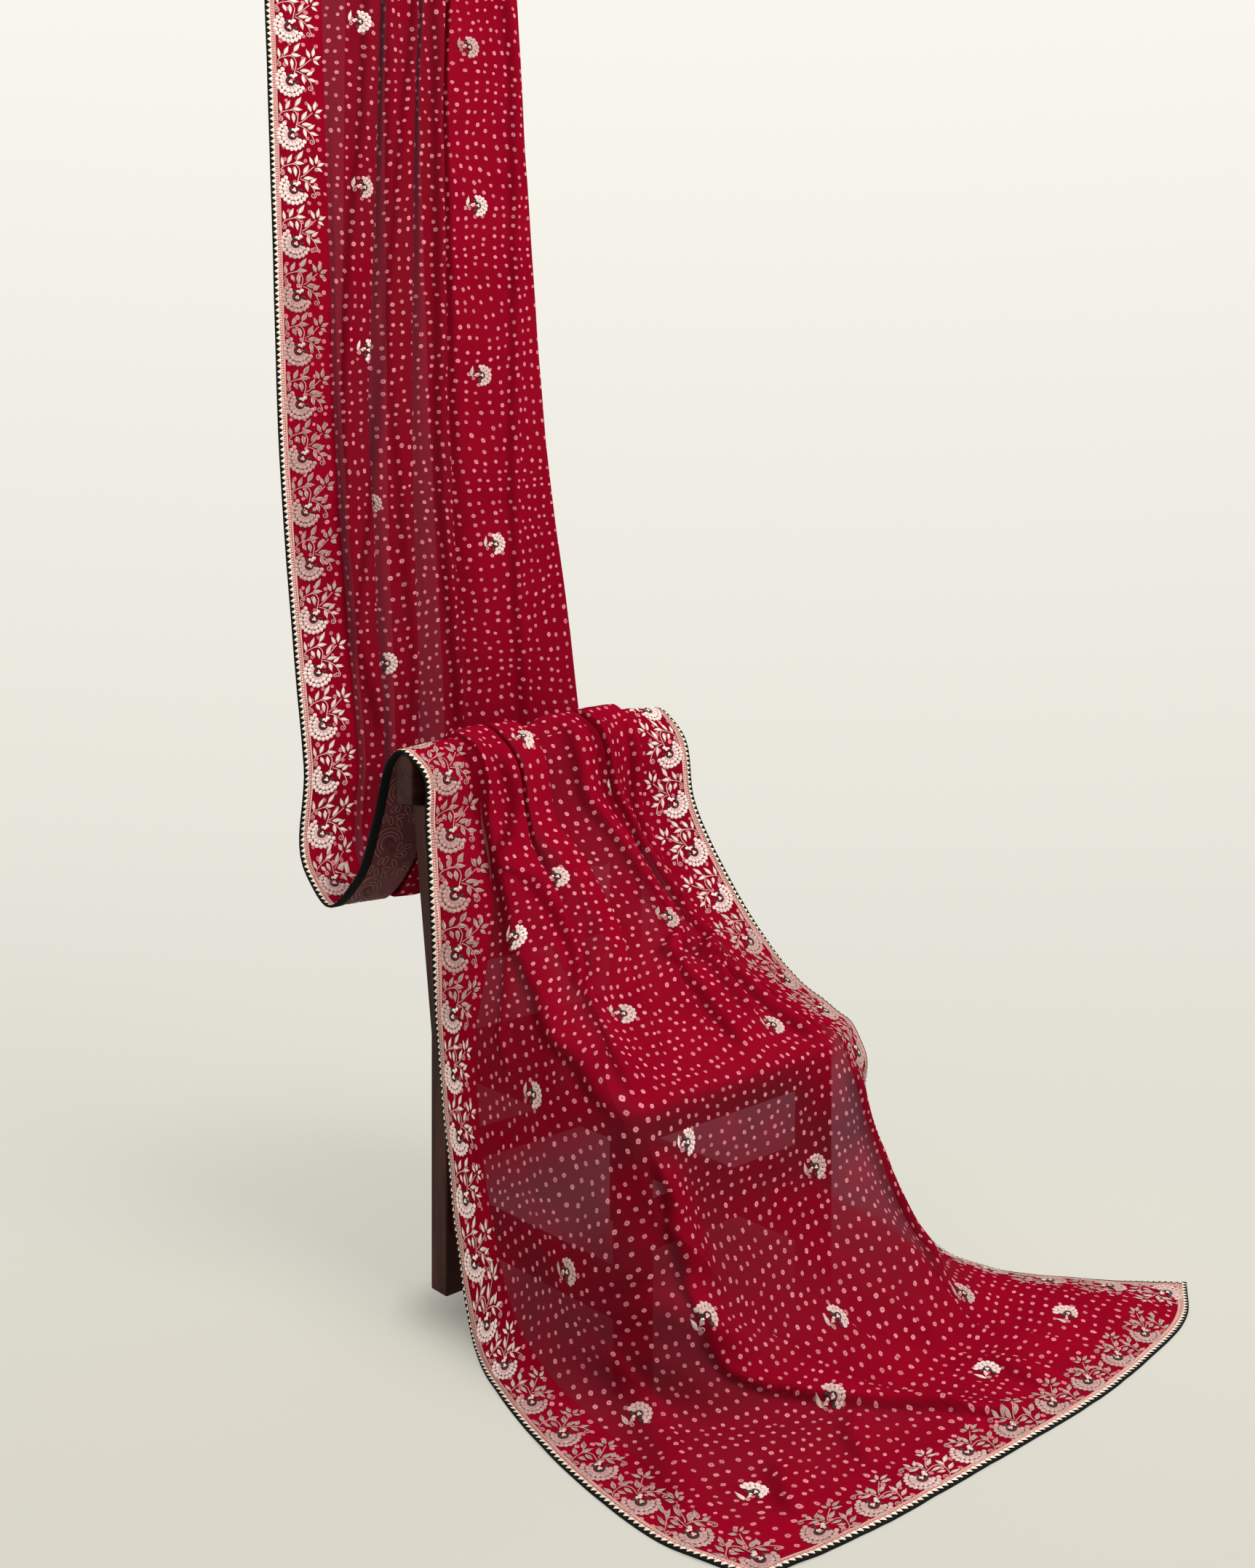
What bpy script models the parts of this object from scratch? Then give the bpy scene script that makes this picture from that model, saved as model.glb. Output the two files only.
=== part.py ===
"""Embroidered sheer cloth hung from above, looped behind a plain wooden chair, drawn over the chair's back
and seat and spread on the floor in front.  Metres, +Z up, the chair's front faces -Y."""
import bpy
import bmesh
import numpy as np

for old in list(bpy.data.objects):
    bpy.data.objects.remove(old, do_unlink=True)

# ---------------------------------------------------------------- named sizes
SHEET_W = 1.14          # width of the cloth between its two long hems
BAND = 0.105            # embroidered border, from the hem inward
CLOTH_T = 0.0010        # cloth
TRIM_T = 0.001          # facing, braid and each wall of the binding
GAP = 0.0003            # between pieces
Z_FLOOR = 0.0026        # middle of the cloth where it lies flat on the floor
EDGE_LINES = (0, .0055, .0165, BAND)   # grid lines beside every hem
END_RUN = 0.16          # cloth between the end edge and the next section
SECTION_POINTS = 121    # a section is measured along this many points

FOLD_FROM, FOLD_RANGE = 0.014, 0.020   # overlap at which a pleat starts to turn over, and how much more turns it
RAISE_RANGE = 0.010     # overlap at which it stands at its full height
FLAT_REACH, RAISED_REACH = 0.014, 0.005    # half width of its lines where it is flat, and once raised
FLAT_LINES = np.array([-.012, -.007, -.003, .003, .007, .012])
FLAT_SQUEEZE = 0.8      # share by which those lines close up as it is raised
FOLD_LIFT = np.array([1, .8, .62, .38, .2, 0])     # heights of its six lines, from the top layer down
PLEAT_ROOM = 0.016      # flat cloth between two pleats
BAND_ROOM = 0.030       # and between the last pleat and the border
LEAD_GAP = 0.004        # from a pleat to the next line
CLIMB = 0.050           # length over which the cloth climbs onto a pleat
PANEL_LINES = (5, 3, 3, 3, 3)          # lines in the flat panels before, between and after the pleats
NEAR_SHARE = 0.3        # place of the line after the last pleat, of the way to the border

BIND_FACE, BIND_BACK = 0.0045, 0.0150      # width of the binding on the face and on the back

CHAIR_W = 0.458         # over the front legs
CHAIR_D = 0.515         # front of the front legs to the back of the back posts
LEG = 0.045
SEAT_Z = 0.440
SEAT_T = 0.020
RAIL_T = 0.022
CREST_Z = (0.840, 0.925)
CREST_Y = (0.515, 0.560)
CREST_X = (-0.040, 0.498)
POST_TOP = (0.022, 0.495)   # how far a post leans outward and where its front face is at CREST_Z[0]
RAIL_IN = 0.004         # outer face of a rail, in from the legs' outer face
RAIL_Z = 0.385          # underside of the rails
BACK_RAIL_TOP, BACK_RAIL_IN = 0.435, 0.010
BAR_IN, BAR_T = 0.012, 0.018               # stretchers: in from the legs' outer face, and thickness
BACK_BAR_IN = 0.016     # the back stretcher, in from the back
FRONT_BAR_Z, SIDE_BAR_Z, BACK_BAR_Z = (0.212, 0.284), (0.104, 0.178), (0.212, 0.262)
LOW_BAR_Z, LOW_BAR_Y = (0.555, 0.590), (0.010, 0.032)      # bar of the back: heights, and behind the posts' face
SPLAT_X = (0.120, 0.338)
SPLAT_Y = ((0.012, 0.030), (0.018, 0.036))     # faces of the splat behind the posts' face, low and high
POST_EDGE, ARCH_SIDES = 0.003, 8

# Sections of the drape in chair axes (origin at the front left leg's outer corner), loose end first.
# A row holds the number of grid steps to the next row and the ten points where the section crosses the
# lines that shape the cloth.
# station, steps, hem_l, band_l, side, fold_a, fold_b, mid, fold_d, fold_e, band_r, hem_r
SECTIONS = (
 ("end", 0, (-.166, -.412, 0), (-.060, -.432, 0), (.050, -.446, 0), (.160, -.452, 0), (.270, -.457, 0),
  (.390, -.462, 0), (.540, -.464, 0), (.690, -.452, 0), (.880, -.415, 0), (.979, -.357, 0)),
 ("floor 2", 2, (-.203, -.255, 0), (-.098, -.275, 0), (.012, -.289, 0), (.115, -.298, 0), (.222, -.304, 0),
  (.335, -.312, 0), (.475, -.318, 0), (.620, -.308, .010), (.795, -.283, .022), (.870, -.243, .004)),
 ("floor 1", 3, (-.178, -.020, 0), (-.085, -.060, 0), (.000, -.105, .002), (.085, -.155, .004),
  (.170, -.190, .010), (.280, -.215, .018), (.410, -.225, .012), (.560, -.210, .014), (.690, -.160, .034),
  (.775, -.100, .004)),
 ("touch", 3, (-.120, .190, 0), (-.070, .110, .020), (-.020, .020, .050), (.055, -.100, .120),
  (.160, -.100, .100), (.270, -.110, .100), (.370, -.120, .095), (.500, -.130, .120), (.662, -.030, .066),
  (.752, .022, .026)),
 ("shin", 4, (-.045, .350, .030), (-.035, .220, .120), (-.026, -.008, .220), (.038, -.046, .290),
  (.150, -.030, .270), (.260, -.030, .260), (.360, -.035, .260), (.452, -.050, .265), (.610, .040, .262),
  (.680, .110, .266)),
 ("apron", 3, (-.033, .398, .150), (-.032, .292, .224), (-.032, .072, .322), (-.006, -.020, .414),
  (.116, -.014, .411), (.235, -.014, .410), (.352, -.015, .410), (.462, -.024, .411), (.574, .062, .388),
  (.666, .104, .374)),
 ("edge", 1, (-.030, .410, .180), (-.032, .310, .250), (-.032, .125, .350), (-.006, -.008, .446),
  (.110, -.006, .447), (.230, -.006, .447), (.350, -.006, .447), (.464, -.008, .447), (.567, .078, .423),
  (.660, .124, .410)),
 ("sill", 1, (-.030, .418, .228), (-.030, .320, .294), (-.030, .160, .380), (-.004, .032, .464),
  (.108, .032, .466), (.222, .031, .467), (.335, .030, .467), (.452, .032, .463), (.562, .108, .434),
  (.656, .150, .424)),
 ("lap", 3, (-.030, .451, .427), (-.022, .360, .470), (-.014, .290, .502), (.006, .200, .540),
  (.100, .190, .555), (.190, .180, .560), (.274, .170, .560), (.394, .182, .546), (.548, .236, .482),
  (.646, .272, .486)),
 ("mid", 4, (-.030, .475, .668), (.024, .440, .676), (.042, .416, .682), (.058, .385, .690),
  (.137, .350, .700), (.220, .330, .700), (.293, .320, .690), (.380, .335, .655), (.496, .390, .626),
  (.599, .380, .645)),
 ("high", 3, (-.031, .486, .810), (.045, .474, .803), (.066, .470, .801), (.087, .465, .800),
  (.150, .455, .800), (.230, .450, .810), (.307, .450, .815), (.380, .452, .795), (.474, .474, .768),
  (.576, .450, .785)),
 ("brow", 2, (-.034, .504, .908), (.055, .503, .918), (.085, .503, .920), (.108, .503, .923),
  (.158, .503, .926), (.246, .503, .930), (.335, .503, .934), (.382, .503, .937), (.478, .505, .937),
  (.572, .490, .925)),
 ("crest", 2, (-.045, .5375, .932), (.050, .5375, .944), (.080, .5375, .946), (.110, .5375, .948),
  (.160, .5375, .950), (.250, .5375, .953), (.335, .5375, .957), (.385, .5375, .961), (.480, .5375, .963),
  (.568, .5375, .957)),
)
# Behind the crest a section is close to straight: its two ends, with the lines spread between by SPREAD.
SPREAD = (0, .17, .25, .34, .42, .52, .64, .74, .83, 1)
HANGING = (
 ("back", 2, (-.046, .574, .914), (.562, .576, .928)),
 ("rise", 2, (-.050, .618, .800), (.545, .603, .800)),
 ("loop front", 2, (-.068, .655, .690), (.535, .618, .690)),
 ("loop", 3, (-.088, .700, .643), (.530, .648, .641)),
 ("loop rear", 3, (-.094, .762, .686), (.525, .690, .690)),
 ("low", 2, (-.078, .800, .880), (.500, .710, .930)),
 ("hang 0", 1, (-.088, .812, 1.05), (.480, .715, 1.10)),
 ("hang 1", 2, (-.113, .820, 1.39), (.432, .725, 1.43)),
 ("hang 2", 2, (-.128, .828, 1.90), (.392, .738, 1.95)),
 ("top", 2, (-.145, .832, 2.42), (.360, .745, 2.42)),
)
# Four pleats: for each its place and its share of the surplus width; then how much the last pleat's fold is
# the section's right end, how far inside that fold the hem lies, and the pleats' height.
PLEATS = {
 "end":    ((.50, .55), (.60, .15), (.68, .15), (.76, .15), 0, 0, .014),
 "floor 1": ((.46, .60), (.58, .13), (.67, .13), (.76, .14), 0, 0, .014),
 "touch":  ((.43, .40), (.55, .20), (.65, .20), (.75, .20), 0, 0, .014),
 "edge":   ((.41, .25), (.52, .20), (.62, .25), (.72, .30), 0, 0, .014),
 "lap":    ((.37, .28), (.47, .22), (.56, .25), (.66, .25), 0, 0, .014),
 "mid":    ((.26, .25), (.39, .20), (.60, .25), (.72, .30), 0, 0, .013),
 "high":   ((.22, .25), (.34, .20), (.57, .25), (.70, .30), 0, 0, .013),
 "crest":  ((.22, .22), (.33, .20), (.58, .25), (.72, .33), 0, 0, .013),
 "rise":   ((.24, .22), (.36, .22), (.58, .24), (.76, .32), .1, 0, .013),
 "loop":   ((.25, .20), (.37, .20), (.56, .22), (.88, .38), .6, .01, .013),
 "low":    ((.22, .11), (.35, .14), (.52, .11), (1.0, .64), 1, .08, .013),
 "hang 1": ((.25, .16), (.42, .16), (.58, .12), (1.0, .56), 1, .04, .013),
 "top":    ((.38, .21), (.52, .19), (.63, .14), (1.0, .46), 1, .016, .013),
}


# ---------------------------------------------------------------- draped surface
def smooth(x):
    """0 at 0, 1 at 1, level at both."""
    return x * x * (3 - 2 * x)


def through(rows, at_rows, at):
    """Smooth curve through rows (first axis) placed at at_rows, read at the values in at."""
    tail = (1,) * (rows.ndim - 1)
    step = np.diff(at_rows)
    slope = np.diff(rows, axis=0) / step.reshape((-1,) + tail)
    w = (step[:-1] / (step[:-1] + step[1:])).reshape((-1,) + tail)
    m = np.concatenate([slope[:1], slope[:-1] * (1 - w) + slope[1:] * w, slope[-1:]])
    i = np.clip(np.searchsorted(at_rows, at, side="right") - 1, 0, len(step) - 1)
    s = ((at - at_rows[i]) / step[i]).reshape((-1,) + tail)
    d = step[i].reshape(s.shape)
    return ((2*s**3 - 3*s**2 + 1) * rows[i] + (s**3 - 2*s**2 + s) * d * m[i]
            + (3*s**2 - 2*s**3) * rows[i + 1] + (s**3 - s**2) * d * m[i + 1])


def arc(points):
    """Running length along the second-last axis of points."""
    d = np.linalg.norm(np.diff(points, axis=-2), axis=-1)
    return np.concatenate([np.zeros(d.shape[:-1] + (1,)), np.cumsum(d, axis=-1)], axis=-1)


def drape():
    """Grid of points on the middle of the cloth (rows along it, columns across it) and its normals."""
    stations = [r[0] for r in SECTIONS + HANGING]
    rows = [np.array(r[2:], float) for r in SECTIONS]
    rows += [np.array(a) + np.outer(SPREAD, np.subtract(b, a)) for _, _, a, b in HANGING]
    rows = np.array(rows)
    key = np.concatenate([[0], np.cumsum(np.linalg.norm(np.diff(rows, axis=0), axis=2).mean(axis=1))])
    steps = [r[1] for r in SECTIONS + HANGING]
    at = [np.array(EDGE_LINES) * key[1] / END_RUN]
    for i in range(1, len(key)):
        start = key[i - 1] if i > 1 else at[0][-1]
        at.append(start + (key[i] - start) * np.arange(1, steps[i] + 1) / steps[i])
    at = np.concatenate(at)
    base = through(rows, key, at)
    base[..., 2] = np.maximum(base[..., 2], Z_FLOOR)
    fixed = [stations.index(n) for n in PLEATS]
    table = np.array([np.hstack([np.ravel(c) for c in row]) for row in PLEATS.values()])
    pleat = np.stack([np.interp(at, key[fixed], col) for col in table.T], axis=1)

    dense = np.array([through(b, a, np.linspace(0, a[-1], SECTION_POINTS)) for b, a in zip(base, arc(base))])
    run = arc(dense)
    width = run[:, -1]
    lines_t, lines_n = [], []
    for i in range(len(at)):
        place, share, (edge, tuck, height) = pleat[i, 0:8:2], pleat[i, 1:8:2], pleat[i, 8:]
        hem = width[i] - tuck
        fold = np.maximum(SHEET_W - hem, 0) * share / share.sum() / 2      # overlap of each pleat
        t, n = list(EDGE_LINES), [0] * len(EDGE_LINES)
        clear = BAND                        # where the layer over the previous pleat ends
        for j in range(4):
            o = fold[j]
            c = place[j] * width[i] - (edge * o / 2 if j == 3 else 0)
            if j < 3 or edge < .5:
                c = min(c, width[i] - BAND - BAND_ROOM - o / 2)
            full, raised = smooth(np.clip((o - FOLD_FROM) / FOLD_RANGE, 0, 1)), np.clip(o / RAISE_RANGE, 0, 1)
            r = min(height / 4, o / 2)
            reach = full * o / 2 + (1 - full) * (FLAT_REACH + (RAISED_REACH - FLAT_REACH) * raised)
            c = max(c, clear + reach + PLEAT_ROOM)
            start = c - reach
            panel = np.linspace(0, 1, PANEL_LINES[j])
            lead = clear + LEAD_GAP + (start - clear - LEAD_GAP) * panel
            ramp = np.clip(1 - (start - lead) / CLIMB, 0, 1) * (panel > 0)
            t += list(lead)
            clear = c + reach
            n += list(raised * height * smooth(ramp))
            folded = np.array([o/2 - r, o/2, o/2 - r, r - o/2, -o/2, r - o/2])
            flat = FLAT_LINES * (1 - FLAT_SQUEEZE * raised)
            t += list(c + full * folded + (1 - full) * flat)
            n += list(raised * height * FOLD_LIFT)
        last = hem - BAND
        near = t[-1] + NEAR_SHARE * (last - t[-1])
        t += list(near + (last - near) * np.linspace(0, 1, PANEL_LINES[-1]))
        t += [hem - e for e in EDGE_LINES[-2::-1]]
        n += [0] * (PANEL_LINES[-1] + len(EDGE_LINES) - 1)
        lines_t.append(t)
        lines_n.append(n)
    t, n = np.array(lines_t), np.array(lines_n)

    along = np.gradient(dense, at, axis=0)
    across = np.gradient(dense, axis=1)
    up = np.cross(across, along)
    up /= np.linalg.norm(up, axis=2, keepdims=True)
    grid = np.empty(t.shape + (3,))
    lift = np.empty_like(grid)
    for i in range(len(at)):
        inside = np.clip(t[i], 0, width[i])
        for a in range(3):
            grid[i, :, a] = np.interp(inside, run[i], dense[i, :, a])
            lift[i, :, a] = np.interp(inside, run[i], up[i, :, a])
    lift /= np.linalg.norm(lift, axis=2, keepdims=True)
    grid += lift * n[..., None]
    normal = np.cross(np.gradient(grid, axis=1), np.gradient(grid, axis=0))
    normal /= np.linalg.norm(normal, axis=2, keepdims=True)
    return grid, normal


GRID, NORMAL = drape()
ROWS, COLS = GRID.shape[:2]
chair_low = np.array([CREST_X[0], 0, 0])
chair_high = np.array([CREST_X[1], CREST_Y[1], CREST_Z[1]])
low = np.minimum(GRID.min(axis=(0, 1)), chair_low)
high = np.maximum(GRID.max(axis=(0, 1)), chair_high)
ORIGIN = np.array([(low[0] + high[0]) / 2, (low[1] + high[1]) / 2, 0])


# ---------------------------------------------------------------- helpers
def material(obj, colour, roughness):
    m = bpy.data.materials.new(obj.name + "_finish")
    m.use_nodes = True
    b = m.node_tree.nodes["Principled BSDF"]
    b.inputs["Base Color"].default_value = (*colour, 1)
    b.inputs["Roughness"].default_value = roughness
    b.inputs["Metallic"].default_value = 0
    obj.data.materials.append(m)
    return obj


def solid(name, verts, faces):
    """Mesh object from points in chair axes, with its normals facing out."""
    mesh = bpy.data.meshes.new(name)
    mesh.from_pydata((np.asarray(verts) - ORIGIN).tolist(), [], faces)
    bm = bmesh.new()
    bm.from_mesh(mesh)
    bmesh.ops.recalc_face_normals(bm, faces=bm.faces)
    bm.to_mesh(mesh)
    bm.free()
    obj = bpy.data.objects.new(name, mesh)
    bpy.context.collection.objects.link(obj)
    return obj


def shell(name, cells, lo, hi):
    """Closed solid over the chosen grid cells, between the offsets lo and hi from the cloth's middle."""
    on = np.zeros((ROWS + 1, COLS + 1), bool)
    on[1:-1, 1:-1] = cells
    used = on[:-1, :-1] | on[1:, :-1] | on[:-1, 1:] | on[1:, 1:]
    index = -np.ones((ROWS, COLS), int)
    index[used] = np.arange(used.sum())
    count = int(used.sum())
    verts = np.concatenate([GRID[used] + NORMAL[used] * hi, GRID[used] + NORMAL[used] * lo])
    faces = []
    for i, j in zip(*np.nonzero(cells)):
        a, b, c, d = index[i, j], index[i, j + 1], index[i + 1, j + 1], index[i + 1, j]
        faces += [(a, b, c), (a, c, d), (c + count, b + count, a + count), (d + count, c + count, a + count)]
        for p, q, (ni, nj) in ((a, b, (i, j + 1)), (b, c, (i + 1, j + 2)), (c, d, (i + 2, j + 1)),
                               (d, a, (i + 1, j))):
            if not on[ni, nj]:
                faces.append((q, p, p + count, q + count))
    return solid(name, verts, [tuple(int(k) for k in f) for f in faces])


def board(name, x, y, z, bevel=0.002):
    """Rectangular board between the limits x, y and z."""
    bm = bmesh.new()
    bmesh.ops.create_cube(bm, size=1)
    size = np.array([x[1] - x[0], y[1] - y[0], z[1] - z[0]])
    centre = np.array([sum(x) / 2, sum(y) / 2, sum(z) / 2]) - ORIGIN
    for v in bm.verts:
        v.co = centre + np.array(v.co) * size
    mesh = bpy.data.meshes.new(name)
    bm.to_mesh(mesh)
    bm.free()
    obj = bpy.data.objects.new(name, mesh)
    bpy.context.collection.objects.link(obj)
    if bevel:
        b = obj.modifiers.new("edges", "BEVEL")
        b.width, b.segments = bevel, 1
    return obj


def prism(name, outline, x, bevel=0.0015):
    """Outline in (y, z) drawn along X between the limits x."""
    verts = [(k, y, z) for k in x for y, z in outline]
    n = len(outline)
    faces = [tuple(range(n)), tuple(range(n, 2 * n))]
    faces += [(k, (k + 1) % n, (k + 1) % n + n, k + n) for k in range(n)]
    obj = solid(name, verts, faces)
    if bevel:
        b = obj.modifiers.new("edges", "BEVEL")
        b.width, b.segments, b.limit_method, b.angle_limit = bevel, 2, "ANGLE", 0.9
    return obj


def post(name, side):
    """Back post: upright to the seat, then raked back and outward to the crest rail."""
    x0 = 0 if side < 0 else CHAIR_W - LEG
    rings = ((0, x0, CHAIR_D - LEG), (SEAT_Z, x0, CHAIR_D - LEG),
             (CREST_Z[0] - GAP, x0 + side * POST_TOP[0], POST_TOP[1]))
    verts = [(x + dx, y + dy, z) for z, x, y in rings for dx, dy in ((0, 0), (LEG, 0), (LEG, LEG), (0, LEG))]
    faces = [(3, 2, 1, 0), (8, 9, 10, 11)]
    faces += [(4*r + k, 4*r + (k + 1) % 4, 4*r + 4 + (k + 1) % 4, 4*r + 4 + k) for r in (0, 1) for k in range(4)]
    obj = solid(name, verts, faces)
    b = obj.modifiers.new("edges", "BEVEL")
    b.width, b.segments, b.limit_method, b.angle_limit = POST_EDGE, 2, "ANGLE", 0.9
    return obj


# ---------------------------------------------------------------- cloth and its sewn-on pieces
RED, DARK_RED, BLACK, ZARI = (.36, .004, .022), (.30, .004, .02), (.006, .006, .008), (.62, .45, .34)
half = CLOTH_T / 2
every = np.ones((ROWS - 1, COLS - 1), bool)
material(shell("cloth", every, -half, half), RED, .75)

E = len(EDGE_LINES) - 1                     # grid steps across the border
face = np.zeros_like(every)                 # border on the back of the cloth, from the binding inward
face[2:, 2:E] = face[2:, -E:-2] = face[2:E, 2:-2] = True
material(shell("facing", face, -half - GAP - TRIM_T, -half - GAP), DARK_RED, .7)

line = np.zeros_like(every)                 # narrow braid on the face, just inside the binding
line[1:, 1] = line[1:, -2] = line[1, 1:-1] = True
material(shell("braid", line, half + GAP, half + GAP + TRIM_T), ZARI, .5)


def edge_path():
    """Stations of the binding: hem point, two inward grid points, their normals and the outward scale."""
    left = [(i, 0, (i, 1), (i, 2)) for i in range(ROWS - 1, 1, -1)]
    end = [(0, j, (1, j), (2, j)) for j in range(2, COLS - 2)]
    right = [(i, COLS - 1, (i, COLS - 2), (i, COLS - 3)) for i in range(2, ROWS)]
    return (left + [(0, 0, (1, 1), (2, 2))] + end
            + [(0, COLS - 1, (1, COLS - 2), (2, COLS - 3))] + right)


def binding():
    """Folded strip over the hem: a narrow wall on the face, a wide one on the back."""
    verts, across_end = [], []
    top, low_wall = half + 2 * GAP, -half - 2 * GAP
    on_face = BIND_FACE / EDGE_LINES[1]
    on_back = (BIND_BACK - EDGE_LINES[1]) / (EDGE_LINES[2] - EDGE_LINES[1])
    for i, j, first, second in edge_path():
        hem, nh = GRID[i, j], NORMAL[i, j]
        p1, n1, p2, n2 = GRID[first], NORMAL[first], GRID[second], NORMAL[second]
        corner = 2 ** .5 if i == 0 and j in (0, COLS - 1) else 1
        out = (hem - p1) / np.linalg.norm(hem - p1) * corner
        pf, nf = hem + (p1 - hem) * on_face, nh + (n1 - nh) * on_face
        pb, nb = p1 + (p2 - p1) * on_back, n1 + (n2 - n1) * on_back
        verts += [pf + nf * (top + TRIM_T), hem + out * (GAP + TRIM_T) + nh * (top + TRIM_T),
                  hem + out * (GAP + TRIM_T) + nh * (low_wall - TRIM_T), p1 + n1 * (low_wall - TRIM_T),
                  pb + nb * (low_wall - TRIM_T), pb + nb * low_wall, p1 + n1 * low_wall,
                  hem + out * GAP + nh * low_wall, hem + out * GAP + nh * top, pf + nf * top]
        across_end.append(i == 0)
    n, k = len(across_end), 10
    faces = []
    for s in range(n - 1):
        for a in range(k):                  # each quad is cut along the same diagonal as the cloth under it
            p, q = s*k + a, s*k + (a + 1) % k
            if (a in (0, 5, 6)) != (across_end[s] and across_end[s + 1]):
                faces += [(p, q, q + k), (p, q + k, p + k)]
            else:
                faces += [(p, q, p + k), (q, q + k, p + k)]
    for base in (0, (n - 1) * k):           # the two cut ends
        faces += [tuple(base + c for c in q) for q in ((0, 1, 8, 9), (1, 2, 7, 8), (2, 3, 6, 7), (3, 4, 5, 6))]
    return solid("binding", verts, faces)


material(binding(), BLACK, .6)

# ---------------------------------------------------------------- chair
WOOD = (.055, .022, .014)
W, D = CHAIR_W, CHAIR_D
under = SEAT_Z - SEAT_T - GAP
between_x, between_y = (LEG + GAP, W - LEG - GAP), (LEG + GAP, D - LEG - GAP)
rail_in, rail_out = RAIL_IN, RAIL_IN + RAIL_T
bar_in, bar_out = BAR_IN, BAR_IN + BAR_T
back_rail_y = D - LEG + BACK_RAIL_IN
chair = [
    board("front_leg_left", (0, LEG), (0, LEG), (0, under)),
    board("front_leg_right", (W - LEG, W), (0, LEG), (0, under)),
    post("back_post_left", -1),
    post("back_post_right", 1),
    board("seat", (0, W), (0, D - LEG - GAP), (SEAT_Z - SEAT_T, SEAT_Z)),
    board("front_rail", between_x, (rail_in, rail_out), (RAIL_Z, under)),
    board("back_rail", between_x, (back_rail_y, back_rail_y + RAIL_T), (RAIL_Z, BACK_RAIL_TOP)),
    board("side_rail_left", (rail_in, rail_out), between_y, (RAIL_Z, under)),
    board("side_rail_right", (W - rail_out, W - rail_in), between_y, (RAIL_Z, under)),
    board("front_stretcher", between_x, (bar_in, bar_out), FRONT_BAR_Z),
    board("side_stretcher_left", (bar_in, bar_out), between_y, SIDE_BAR_Z),
    board("side_stretcher_right", (W - bar_out, W - bar_in), between_y, SIDE_BAR_Z),
    board("back_stretcher", between_x, (D - BACK_BAR_IN - BAR_T, D - BACK_BAR_IN), BACK_BAR_Z),
]
y0, y1 = CREST_Y
z0, z1 = CREST_Z
r = (y1 - y0) / 2
arch = [((y0 + y1) / 2 - r * np.cos(a), z1 - r + r * np.sin(a)) for a in np.linspace(0, np.pi, ARCH_SIDES + 1)]
chair.append(prism("crest_rail", [(y1, z0), (y0, z0)] + arch, CREST_X))


def raked(z):
    """Front face of the back posts at the height z."""
    return D - LEG + (POST_TOP[1] - D + LEG) * (z - SEAT_Z) / (z0 - SEAT_Z)


splat_low, splat_high = LOW_BAR_Z[1] + GAP, z0 - GAP
(low_front, low_back), (high_front, high_back) = SPLAT_Y
chair.append(prism("back_splat", [(raked(splat_low) + low_front, splat_low), (raked(splat_low) + low_back, splat_low),
                                  (raked(splat_high) + high_back, splat_high),
                                  (raked(splat_high) + high_front, splat_high)], SPLAT_X))
bar_low, bar_high = LOW_BAR_Z
bar_front, bar_back = LOW_BAR_Y
chair.append(prism("back_bar", [(raked(bar_low) + bar_front, bar_low), (raked(bar_low) + bar_back, bar_low),
                                (raked(bar_high) + bar_back, bar_high), (raked(bar_high) + bar_front, bar_high)],
                   between_x))
for obj in chair:
    material(obj, WOOD, .38)
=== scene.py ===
"""Sheer tie-dyed cloth with an embroidered border: it hangs from above, loops behind a plain wooden chair, goes
over the chair's back and seat and lies on the floor in front.  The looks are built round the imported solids."""

import bpy
import numpy as np
from mathutils import Matrix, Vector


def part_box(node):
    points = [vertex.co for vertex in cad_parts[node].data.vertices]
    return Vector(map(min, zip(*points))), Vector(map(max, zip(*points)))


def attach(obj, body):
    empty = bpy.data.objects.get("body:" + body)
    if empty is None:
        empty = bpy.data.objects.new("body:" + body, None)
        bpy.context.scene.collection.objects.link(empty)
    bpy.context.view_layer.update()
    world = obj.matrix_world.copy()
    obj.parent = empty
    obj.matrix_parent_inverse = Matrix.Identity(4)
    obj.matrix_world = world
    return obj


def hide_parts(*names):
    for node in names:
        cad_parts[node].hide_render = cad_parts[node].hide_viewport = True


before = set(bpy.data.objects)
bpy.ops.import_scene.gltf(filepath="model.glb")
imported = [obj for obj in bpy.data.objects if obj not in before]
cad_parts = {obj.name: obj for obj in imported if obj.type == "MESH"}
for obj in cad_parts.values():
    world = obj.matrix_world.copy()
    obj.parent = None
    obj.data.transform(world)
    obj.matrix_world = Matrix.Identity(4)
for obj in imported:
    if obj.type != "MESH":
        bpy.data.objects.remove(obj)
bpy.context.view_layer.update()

# ------------------------------------------------------------------ cloth
# One width of red crepe, sheer enough to show what is behind it, tie-dyed with rows of small rings.
# It is a single woven sheet that falls in its own folds: the same sections and pleats as the solid, on a finer grid.
SHEET_W, SHEET_LONG = 1.14, 3.85     # between the two long hems, and the length that is built
BAND = 0.105            # embroidered border, from the hem inward
Z_FLOOR = 0.0026        # middle of the cloth where it lies flat
EDGE_LINES = (0, .0055, .0165, BAND)
END_RUN = 0.16          # cloth between the end edge and the next section
SECTION_POINTS = 121    # a section is measured along this many points
CORNER = np.array(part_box("front_leg_left")[0]) * (1, 1, 0)     # the tables' origin: the chair's front left corner

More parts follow.
